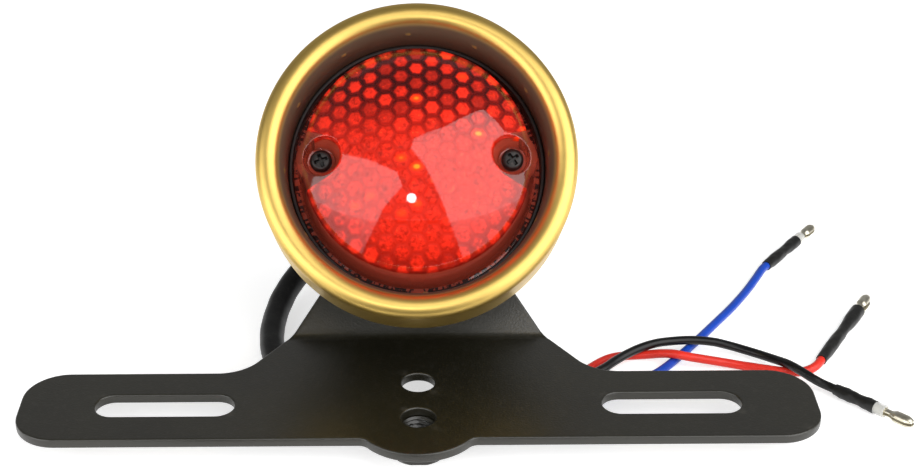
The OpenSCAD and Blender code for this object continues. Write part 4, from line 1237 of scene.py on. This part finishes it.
def turned_rows(rows, angle, centre=0.0):
    """Rows of (radii, heights) as rings of points round an axis at a distance along x."""
    radius = np.vstack([np.atleast_2d(r + 0 * angle) for r, _ in rows])
    rise = np.vstack([np.atleast_2d(z + 0 * angle) for _, z in rows])
    return np.stack([centre + radius * np.cos(angle), radius * np.sin(angle), rise], -1)


def cell_height(sizes):
    """A hexagon's height across its flats: the pitch times 2 over root 3."""
    return sizes.cell_pitch * 2 / np.sqrt(3)


def cell_metric(sizes, x, y):
    """For points on the lens: distance from the nearest hexagon cell's centre, from 0 to 1 at its
    border, and the cell's column and row.

    Columns stand a pitch apart, cells in a column pitch * 2 / root 3, and odd columns half a
    cell higher. The distance is the largest of the three across the flats.
    """
    flat = cell_height(sizes)
    column = np.round(x / sizes.cell_pitch) + np.array([-1, 0, 1])[:, None]
    row = np.round(y / flat - column % 2 / 2)
    dx, dy = x - column * sizes.cell_pitch, y - (row + column % 2 / 2) * flat
    best = np.argmin(dx * dx + dy * dy, axis=0)
    dx, dy, column, row = (np.take_along_axis(v, best[None], 0)[0] for v in (dx, dy, column, row))
    slant = np.sqrt(3) / 2 * dx
    far = np.max([np.abs(dy), np.abs(slant + dy / 2), np.abs(slant - dy / 2)], axis=0)
    return far / (flat / 2), column.astype(int), row.astype(int)


def upper(y):
    """0 in the lens's lower half, easing to 1 in its upper third, where the grooves are deeper and their
    painted shade darker.
    """
    low, high = -1 * MM, 18 * MM
    return ease((y - low) / (high - low))


def ceiling(sizes, x, y):
    """Height of the inside of the face: a sphere, each cell slightly domed by the square of the
    share of the way to its border, and grooves between that ease in over the last two sevenths and
    are much shallower in the lower half."""
    cell_dome = 0.25 * MM
    share, *_ = cell_metric(sizes, x, y)
    groove = sizes.groove * ease((share - 5 / 7) / (2 / 7)) * (0.08 + 0.92 * upper(y))
    return sphere_rise(sizes, np.hypot(x, y), sizes.wall) - cell_dome * share ** 2 - groove


def lattice(reach, step):
    """Points of a triangular lattice with a row along y through the origin."""
    count = int(reach / step) + 2
    a, b = np.meshgrid(np.arange(-2 * count, 2 * count + 1), np.arange(-2 * count, 2 * count + 1))
    points = np.stack([(a + b / 2).ravel(), (b * np.sqrt(3) / 2).ravel()], -1) * step
    return points[np.hypot(*points.T) < reach]


def dome_over(sizes, centre, radius, angle):
    """Height of the dome over the points at a radius round a centre on the x axis."""
    return sphere_rise(sizes, np.hypot(centre + radius * np.cos(angle), radius * np.sin(angle)), 0)


def lens_well(sizes, centre):
    """A well: a rounded mouth on the dome, a slanted wall, a floor and the screw's hole."""
    angle, hole_r = even_angles(96), 1.7 * MM
    lip_r, lip_h, ease_h = 0.35 * MM, 0.4 * MM, 0.3 * MM
    mouth_rise = sphere_rise(sizes, sizes.screw_x, 0)
    slope = (sizes.mouth_r - sizes.floor_r) / (mouth_rise - sizes.floor_h)

    def wall_radius(height):
        """Radius of the slanted wall at a height."""
        return sizes.floor_r + slope * (height - sizes.floor_h)

    radius = settled(lambda out: wall_radius(dome_over(sizes, centre, out, angle)),
                     sizes.mouth_r + 0 * angle)
    rise = dome_over(sizes, centre, radius, angle)
    low = rise - lip_h
    beside = radius + lip_r
    mouth = curve((beside, dome_over(sizes, centre, beside, angle)), (radius, rise),
                  (wall_radius(low), low), 4)
    down = low + (sizes.floor_h + ease_h - low) * np.linspace(0, 1, 6)[1:, None]
    rows = [mouth, (wall_radius(down), down)]
    rows += [(sizes.floor_r - reach * ease_h, sizes.floor_h + lift * ease_h)
             for reach, lift in ((0.3, 0.3), (1, 0))]
    rows += [(hole_r, height) for height in (sizes.floor_h, sizes.floor_h / 2, 0)]
    return turned_rows(rows, angle, centre)


def lens_outside(sizes, angle):
    """Rings of the foot with its tab and of the side, from the underside up to the dome's edge."""
    tab, tab_half, tab_soft = 0.4 * MM, 2 * MM, 0.5 * MM
    foot_t, soft, fillet, hollow, cut = 1.6 * MM, 0.3 * MM, 0.15 * MM, 0.04 * MM, 0.7 * MM
    foot = sizes.foot_r + tab * notch_share(angle, sizes.foot_r, tab_half, tab_soft)
    rise = settled(lambda at: sphere_rise(sizes, side_radius(sizes, angle, at), 0),
                   sizes.edge_h + 0 * angle)
    edge = side_radius(sizes, angle, rise)
    start = side_radius(sizes, angle, foot_t)
    up = foot_t + fillet + (rise - cut - foot_t - fillet) * np.linspace(0, 1, 9)[:, None]
    return turned_rows([
        curve((foot - soft, 0.0), (foot, 0.0), (foot, soft), 3),
        curve((foot, foot_t - soft), (foot, foot_t), (foot - soft, foot_t + 0 * angle), 3),
        (start + fillet, foot_t), (start + hollow, foot_t + hollow),
        (side_radius(sizes, angle, up), up),
        curve((side_radius(sizes, angle, rise - cut), rise - cut), (edge, rise),
              (edge - cut, sphere_rise(sizes, edge - cut, 0)), 6),
    ], angle)


def lens_room(sizes, angle):
    """Rings of the room inside, from the foot up to where its wall meets the ceiling."""
    rim = settled(lambda at: sphere_rise(sizes, room_radius(sizes, angle, at), sizes.wall),
                  sizes.edge_h + 0 * angle)
    top_r = room_radius(sizes, angle, rim)
    climb = np.linspace(0, 1, 13)[:, None] * ceiling(sizes, top_r * np.cos(angle), top_r * np.sin(angle))
    radius = room_radius(sizes, angle, climb)
    radius[-1] = top_r
    return turned_rows([(radius, climb)], angle)


def make_lens(sizes, tones):
    """One closed solid: foot with its tab, side, dome and wells as a clear red skin, and the
    room inside, whose ceiling carries the cells, as a bright surface behind it."""
    angle, face_step, cell_step = even_angles(384), 0.6 * MM, sizes.cell_pitch * 2 / 21
    skin, room = lens_outside(sizes, angle), lens_room(sizes, angle)
    wells = [lens_well(sizes, side * sizes.screw_x) for side in (-1, 1)]
    face, face_tris = filled([skin[-1, :, :2]] + [well[0, :, :2] for well in wells],
                             lattice(sizes.edge_r, face_step))
    face = np.column_stack([face, sphere_rise(sizes, np.hypot(*face.T), 0)])
    cells, cell_tris = filled([room[-1, :, :2]], lattice(sizes.edge_r, cell_step))
    cells = np.column_stack([cells, ceiling(sizes, *cells.T)])
    under, under_tris = filled([skin[0, :, :2], room[0, :, :2]] + [well[-1, :, :2] for well in wells])
    under = np.column_stack([under, np.zeros(len(under))])
    parts = [(loft(skin), 0), ((face, [face_tris]), 0), ((under, [under_tris]), 1),
             (loft(room), 1), ((cells, [cell_tris]), 1)]
    parts += [(loft(well), 0) for well in wells]
    parts = [((on_lamp(points, LENS_W), faces), mark) for (points, faces), mark in parts]
    piece = make_piece("tail_lens_cells", parts, [lens_skin(tones), lens_cells(tones)],
                       ["tail_lens"], sharp=38)
    mark_cells(sizes, piece)


# Cells over a light-emitting diode that get a painted glint, as column and row, with the glint's strength
PAINTED_GLINTS = ((0, 3, 0.8), (4, 1, 1.0), (0, -1, 1.0), (-1, -1, 0.7), (-4, -3, 0.5), (-3, -3, 0.5),
          (0, -3, 0.6), (-1, -4, 0.5), (1, 5, 0.35), (3, 4, 0.55), (7, 1, 0.6), (5, 3, 0.2))


def mark_cells(sizes, piece):
    """Stores for each point how near the cell's border it is, its cell's own tone, how strongly a
    painted glint over a diode shows there, and how far up the face it lies, a share that also rises
    toward the rim and sets the painted shade of the grooves.

    The painted glint falls off as e to the less of the squared distance, with its own reach in x and in y.
    """
    glint_x, glint_y, lifted, behind = 1.3 * MM, 0.9 * MM, 0.2 * MM, 1.6 * MM
    rim_r, rim_w, kinds = 21 * MM, 6 * MM, 31
    local = in_lamp_frame(piece)
    x, y, rise = local[:, 0], local[:, 1], local[:, 2] - LENS_W
    share, column, row = cell_metric(sizes, x, y)
    on_face = rise > sphere_rise(sizes, np.minimum(np.hypot(x, y), sizes.edge_r), sizes.wall) - behind
    shades = np.random.default_rng(11).random((kinds, kinds))
    tone = shades[column % kinds, row % kinds]
    flat = cell_height(sizes)
    glint = np.zeros(len(x))
    for glint_column, glint_row, strength in PAINTED_GLINTS:
        centre_x = glint_column * sizes.cell_pitch
        centre_y = (glint_row + glint_column % 2 / 2) * flat
        spread = ((x - centre_x) / glint_x) ** 2 + ((y - centre_y - lifted) / glint_y) ** 2
        glint += strength * np.exp(-spread)
    mark_points(piece, "border", np.where(on_face, share, 1.0))
    mark_points(piece, "tone", tone)
    mark_points(piece, "glint", np.where(on_face, glint, 0))
    # The painted shade of the grooves also deepens toward the rim of the face
    rim = ease((np.hypot(x, y) - rim_r) / rim_w)
    mark_points(piece, "up", np.maximum(upper(y), 0.6 * rim))
    mark_points(piece, "wall", np.where(on_face, 0, 1))


def lens_skin(tones):
    """Clear red plastic: glass to the eye, and tinted clear to the rays that look for a light."""
    material, tree, shader = new_material("red_lens")
    where = object_place(tree)
    smears = noise(tree, where, 70.0, 3.0)
    clear_red = opaque(tones.lens)
    fill(tree, shader, {
        "Base Color": mix_colours(tree, smears, clear_red, opaque(darker(tones.lens, 0.9))),
        "Roughness": span(tree, smears, 0.3, 0.8, 0.03, 0.07),
        "Normal": relief_of(tree, noise(tree, where, 45.0, 2.0), 0.02 * MM),
        "Transmission Weight": 1.0, "IOR": 1.5,
    })
    clear = place(tree, "ShaderNodeBsdfTransparent", {"Color": clear_red}).outputs[0]
    shadow = place(tree, "ShaderNodeLightPath").outputs["Is Shadow Ray"]
    mixed = place(tree, "ShaderNodeMixShader", {0: shadow, 1: shader.outputs[0], 2: clear}).outputs[0]
    fill(tree, tree.nodes["Material Output"], {"Surface": mixed})
    return material


def cell_colour(tree, tones, blotch, high):
    """A cell's red: its own tone high up and broad noise lower down, broken up by the blotches, and
    with painted orange sparkles in them."""
    broad = place(tree, "ShaderNodeTexNoise", {
        "Vector": object_place(tree), "Scale": 420.0, "Detail": 1.0,
    })
    own = mix_colours(tree, high, broad.outputs["Color"], own_value(tree, "tone"))
    shade = span(tree, compute(tree, "MULTIPLY_ADD", blotch, 1.6, own), 0.85, 1.7)
    cell = mix_colours(tree, shade, opaque(darker(tones.cell, 0.4)), opaque(tones.cell))
    # Painted sparkles: light orange where the blotches are strongest
    return mix_colours(tree, span(tree, blotch, 0.64, 0.74), cell, opaque(srgb(255, 120, 60)))


def grooved(tree, tones, cell, blotch, high):
    """The cells' colour with crooked grooves along their borders, in painted shade that is dark high up and
    toward the rim and faint below, and that darkens each cell gradually toward its border.
    """
    # Painted shade of the grooves: a somewhat darker red low down, the groove shade colour high up
    gap = mix_colours(tree, high, opaque(darker(tones.cell, 0.6)), opaque(tones.groove_shade))
    crooked = compute(tree, "MULTIPLY_ADD", blotch, 0.5, own_value(tree, "border"))
    past = compute(tree, "SUBTRACT", crooked, span(tree, high, 0.0, 1.0, 1.02, 0.86))
    return mix_colours(tree, span(tree, past, -0.12, 0.18), cell, gap)


def lens_cells(tones):
    """The surface behind the skin: bright red cells of uneven tone with a faint painted glow, grooves
    in painted shade, dark walls, and orange to yellow painted glints over the diodes that glow brighter."""
    material, tree, shader = new_material("red_lens_cells")
    blotch, high = noise(tree, object_place(tree), 900.0, 3.0, 0.6), own_value(tree, "up")
    red = grooved(tree, tones, cell_colour(tree, tones, blotch, high), blotch, high)
    red = mix_colours(tree, own_value(tree, "wall"), red, opaque(tones.lens_wall))
    # Painted glints over the diodes: the red turns orange, then yellow at the core
    glint = own_value(tree, "glint")
    lit = mix_colours(tree, span(tree, glint, 0.08, 0.4), red, opaque(srgb(255, 92, 24)))
    lit = mix_colours(tree, span(tree, glint, 0.5, 0.9), lit, opaque(tones.glint))
    # Painted glow: emission makes the whole surface glow faintly and the painted glints brighter
    fill(tree, shader, {
        "Base Color": lit, "Emission Color": lit,
        "Emission Strength": compute(tree, "MULTIPLY_ADD", span(tree, glint, 0.3, 1.0), 0.8, 0.04),
        "Specular IOR Level": 0.15, "Roughness": span(tree, blotch, 0.3, 0.7, 0.24, 0.4),
        "Normal": relief_of(tree, blotch, 0.08 * MM),
    })
    return material


def make_gasket(rubber):
    """A flat ring with a thin lip, carried round the axis, and the lip lowered at the lens's tab."""
    outer, inner, lip, high = THROAT_R - 0.05 * MM, FLANGE_R, 1.2 * MM, 6 * MM
    ring_t = 1 * MM
    profile = rounded(
        np.array([[inner, 0], [outer, 0], [outer, high], [outer - lip, high],
                  [outer - lip, ring_t], [inner, ring_t]]),
        np.array([0.15, 0.15, 0.45, 0.45, 0.1, 0.15]) * MM,
    )
    rings = lathe(profile, 384)
    angle = even_angles(384)
    gap_half, gap_soft = 2.2 * MM, 0.6 * MM
    lowered = 0.97 * notch_share(angle, outer, gap_half, gap_soft)
    rings[..., 2] -= np.maximum(rings[..., 2] - ring_t, 0) * lowered
    return make_piece("lens_gasket_ring", [(loft(on_lamp(rings, GASKET_W), join=True), 0)], [rubber],
                      ["lens_gasket"])


class TAILLAMP_OT_screws(Operator):
    """Make the lens screws, the mounting screws and their washers, the pad and the grommet"""

    bl_idname = "tail_lamp.screws"
    bl_label = "Screws and rubber parts"

    def execute(self, context):
        sizes, tones = context.scene.tail_lamp_lens, context.scene.tail_lamp_finishes
        steel = finish("black_steel", tones.screw, darker(tones.screw, 0.7),
                       roughness=0.34, spread=0.16, grain=1600, relief=0.012, tone=300, dust=0.08,
                       wear=0.35, bare=srgb(126, 122, 116), metallic=0.6)
        well_floor = LENS_W + sizes.floor_h
        make_screws("lens_screws", steel, sizes.screw_x, well_floor, 1, LENS_SCREW)
        stack = SHEET_T + FLAT_WASHER_T + SPRING_WASHER_T
        make_screws("mounting_screws", steel, MOUNT_DX, -stack, -1, MOUNTING_SCREW)
        zinc = finish("zinc_steel", srgb(196, 196, 192), srgb(164, 162, 156), roughness=0.36,
                      spread=0.2, grain=1200, relief=0.012, tone=260, dust=0.15, metallic=1.0)
        make_washers(zinc)
        make_rubbers(bpy.data.materials["black_rubber"])
        return {"FINISHED"}


def pan_screw(diameter, reach, head_d, head_h):
    """Rings of a pan-headed screw pointing down the z axis, from the recess to the tip.

    The recess's outline is the smaller of arm length over cosine and arm half width over sine of the
    angle to the nearest arm. The head is an arc of an ellipse over a straight side.
    """
    head, side, edge, point = head_d / 2, 0.45 * head_h, 0.1 * MM, 0.5 * MM
    arm, half, flare = 0.3 * head_d, 0.075 * head_d, 0.02 * head_d
    corner = np.arctan(half / arm)
    quarter = np.concatenate([np.linspace(-np.pi / 4, -corner, 6)[:-1],
                              np.linspace(-corner, corner, 5), np.linspace(corner, np.pi / 4, 6)[1:-1]])
    angle = (quarter + np.arange(4)[:, None] * np.pi / 2).ravel()
    turned = np.tile(quarter, 4)
    cross = np.minimum(arm / np.cos(turned), half / np.maximum(np.abs(np.sin(turned)), 1e-9))
    bend = np.radians(np.linspace(90, 0, 9))[:, None]
    crown = (head * (0.62 + 0.38 * np.cos(bend)), side + (head_h - side) * np.sin(bend))
    deep, brink, shank = 0.38 * head_h, 0.94 * head_h, diameter / 2
    rows = [(0.25 * cross, deep), (0.7 * cross, deep), (cross, brink), (cross + flare, head_h),
            crown, (head, edge), (head - edge, 0.0), (shank, 0.0), (shank, point - reach),
            (shank - point, -reach)]
    return turned_rows(rows, angle)


def make_screws(name, steel, distance, rise, facing, screw):
    """Two screws, one on each side of the axis, each turned a little differently."""
    rings = pan_screw(*screw)
    rings[..., 2] *= facing
    parts = []
    for side, turn in ((-1, 0.35), (1, 0.62)):
        turned = rings @ np.array([[np.cos(turn), np.sin(turn), 0], [-np.sin(turn), np.cos(turn), 0],
                                   [0, 0, 1]])
        parts.append((loft(on_lamp(turned + [side * distance, 0, 0], rise), caps=True), 0))
    return make_piece(name + "_recessed", parts, [steel], [name], sharp=35)


def washer_profile(outer, thick, soft):
    """A washer's cut: a rectangle with rounded corners, from the screw's hole outward."""
    return rounded([[MOUNT_HOLE_R, 0], [outer, 0], [outer, thick], [MOUNT_HOLE_R, thick]], soft)


def make_washers(zinc):
    """Flat washers, and spring washers with a gap: each is a profile turned round the screw."""
    flat_r, split_r, half_gap = 4.3 * MM, 3.5 * MM, 0.5 * MM
    flat_rings = lathe(washer_profile(flat_r, FLAT_WASHER_T, 0.15 * MM), 48)
    profile = washer_profile(split_r, SPRING_WASHER_T, 0.12 * MM)
    gap = half_gap / ((MOUNT_HOLE_R + split_r) / 2)
    angle = np.linspace(gap, TURN - gap, 56)
    cut_rings = np.stack([
        np.outer(np.cos(angle), profile[:, 0]), np.outer(np.sin(angle), profile[:, 0]),
        np.broadcast_to(profile[:, 1], (len(angle), len(profile))),
    ], -1)
    flat, split = [], []
    for side in (-1, 1):
        place_x = [side * MOUNT_DX, 0, 0]
        low = -SHEET_T - FLAT_WASHER_T
        flat.append((loft(on_lamp(flat_rings + place_x, low), join=True), 0))
        split.append((loft(on_lamp(cut_rings + place_x, low - SPRING_WASHER_T), caps=True), 0))
    make_piece("flat_washers_round", flat, [zinc], ["flat_washers"])
    make_piece("spring_washers_split", split, [zinc], ["spring_washers"])


def make_rubbers(rubber):
    """The pad between neck and body, and the grommet with its two flanges and its bore."""
    pad_r, pad_t, soft = 18 * MM, 1.5 * MM, 0.25 * MM
    edge = arc((0, 0), pad_r, 0, 360, 128)[:-1]
    holes = [arc((0, 0), CABLE_HOLE_R, 360, 0, 64)[:-1]]
    holes += [arc((side * MOUNT_DX, 0), MOUNT_HOLE_R, 360, 0, 32)[:-1] for side in (-1, 1)]
    lower = arc((soft, soft), soft, 270, 180, 3)
    profile = np.vstack([lower, (lower * [1, -1] + [0, pad_t])[::-1]])
    edges, inner = rims([edge] + holes, profile)
    parts = [(loft(on_lamp(rings)), 0) for rings in edges]
    flat, faces = filled(inner)
    for height in (0, pad_t):
        sheet = np.column_stack([flat, np.full(len(flat), height)])
        parts.append(((on_lamp(sheet), [faces]), 0))
    make_piece("mounting_pad_cut", parts, [rubber], ["mounting_pad"])
    bore_r, neck_r, flange_r, flange_t, front = 2.4 * MM, 5.8 * MM, 8 * MM, 1.8 * MM, 3.5 * MM
    rear = -SHEET_T - flange_t
    profile = rounded([
        [bore_r, rear], [flange_r, rear], [flange_r, -SHEET_T], [neck_r, -SHEET_T], [neck_r, front],
        [flange_r, front], [neck_r, front + flange_t], [bore_r, front + flange_t],
    ], np.array([0.4, 0.8, 0.3, 0.05, 0.05, 0.3, 0.4, 0.4]) * MM)
    make_piece("cable_grommet_moulded", [(loft(on_lamp(lathe(profile, 72)), join=True), 0)], [rubber],
               ["cable_grommet"])


class TAILLAMP_OT_inside(Operator):
    """Give the lamp's body and the parts inside it their finishes"""

    bl_idname = "tail_lamp.inside"
    bl_label = "Body and light unit"

    def execute(self, context):
        tones = context.scene.tail_lamp_finishes
        zinc = bpy.data.materials["zinc_steel"]
        paint = finish("black_body", tones.body, roughness=0.3, spread=0.1, grain=1500, relief=0.008,
                       tone=60, dust=0.1, wear=0.2, bare=srgb(120, 116, 110))
        finishes = {
            "lamp_body": paint,
            "board_screws": zinc,
            "circuit_board": finish("board_green", srgb(26, 92, 48), srgb(14, 66, 34), roughness=0.34,
                                    grain=500, relief=0.02, tone=500, dust=0.1),
            "led_emitters": finish("led_resin", srgb(238, 214, 128), srgb(250, 240, 190), roughness=0.12,
                                   spread=0.05, tone=400, Transmission_Weight=0.4),
            "resistors": finish("resistor_tan", srgb(206, 178, 132), srgb(170, 120, 70), roughness=0.4,
                                tone=900, relief=0.02),
            "polarity_diode": finish("black_resin", srgb(28, 28, 30), roughness=0.35, tone=700),
            "led_reflector": finish("silvered_plastic", srgb(226, 226, 228), srgb(190, 190, 196),
                                    roughness=0.12, spread=0.08, grain=700, relief=0.01, tone=80,
                                    metallic=1.0),
            "board_leads": finish("lead_insulation", srgb(120, 30, 26), srgb(84, 18, 16),
                                  roughness=0.4, tone=600, relief=0.01),
        }
        for node, material in finishes.items():
            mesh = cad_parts[node].data
            mesh.materials.clear()
            mesh.materials.append(material)
        return {"FINISHED"}


class TAILLAMP_OT_panel(Panel):
    """Lists the operators"""

    bl_idname = "TAILLAMP_PT_panel"
    bl_label = "Tail Lamp"
    bl_space_type = "VIEW_3D"
    bl_region_type = "UI"
    bl_category = "Tail Lamp"

    def draw(self, context):
        for operator in OPERATORS:
            self.layout.operator(operator.bl_idname)


OPERATORS = (TAILLAMP_OT_stage, TAILLAMP_OT_cords, TAILLAMP_OT_bracket, TAILLAMP_OT_bezel,
             TAILLAMP_OT_lens, TAILLAMP_OT_screws, TAILLAMP_OT_inside)
GROUPS = {
    "tail_lamp_bracket": BracketSizes, "tail_lamp_lamp": LampSizes, "tail_lamp_lens": LensSizes,
    "tail_lamp_cords": CordSizes, "tail_lamp_finishes": Finishes,
}


def register():
    """Registers the property groups, then the operators and the panel."""
    for group in GROUPS.values():
        bpy.utils.register_class(group)
    for name, group in GROUPS.items():
        setattr(bpy.types.Scene, name, PointerProperty(type=group))
    for operator in (*OPERATORS, TAILLAMP_OT_panel):
        bpy.utils.register_class(operator)


def unregister():
    """Takes back what register did."""
    for operator in (*OPERATORS, TAILLAMP_OT_panel):
        bpy.utils.unregister_class(operator)
    for name, group in GROUPS.items():
        delattr(bpy.types.Scene, name)
        bpy.utils.unregister_class(group)


def main():
    """Builds everything in order."""
    register()
    bpy.context.scene.view_settings.view_transform = "Standard"
    for operator in OPERATORS:
        group, name = operator.bl_idname.split(".")
        getattr(getattr(bpy.ops, group), name)()
    bpy.context.view_layer.update()


if __name__ == "__main__":
    main()
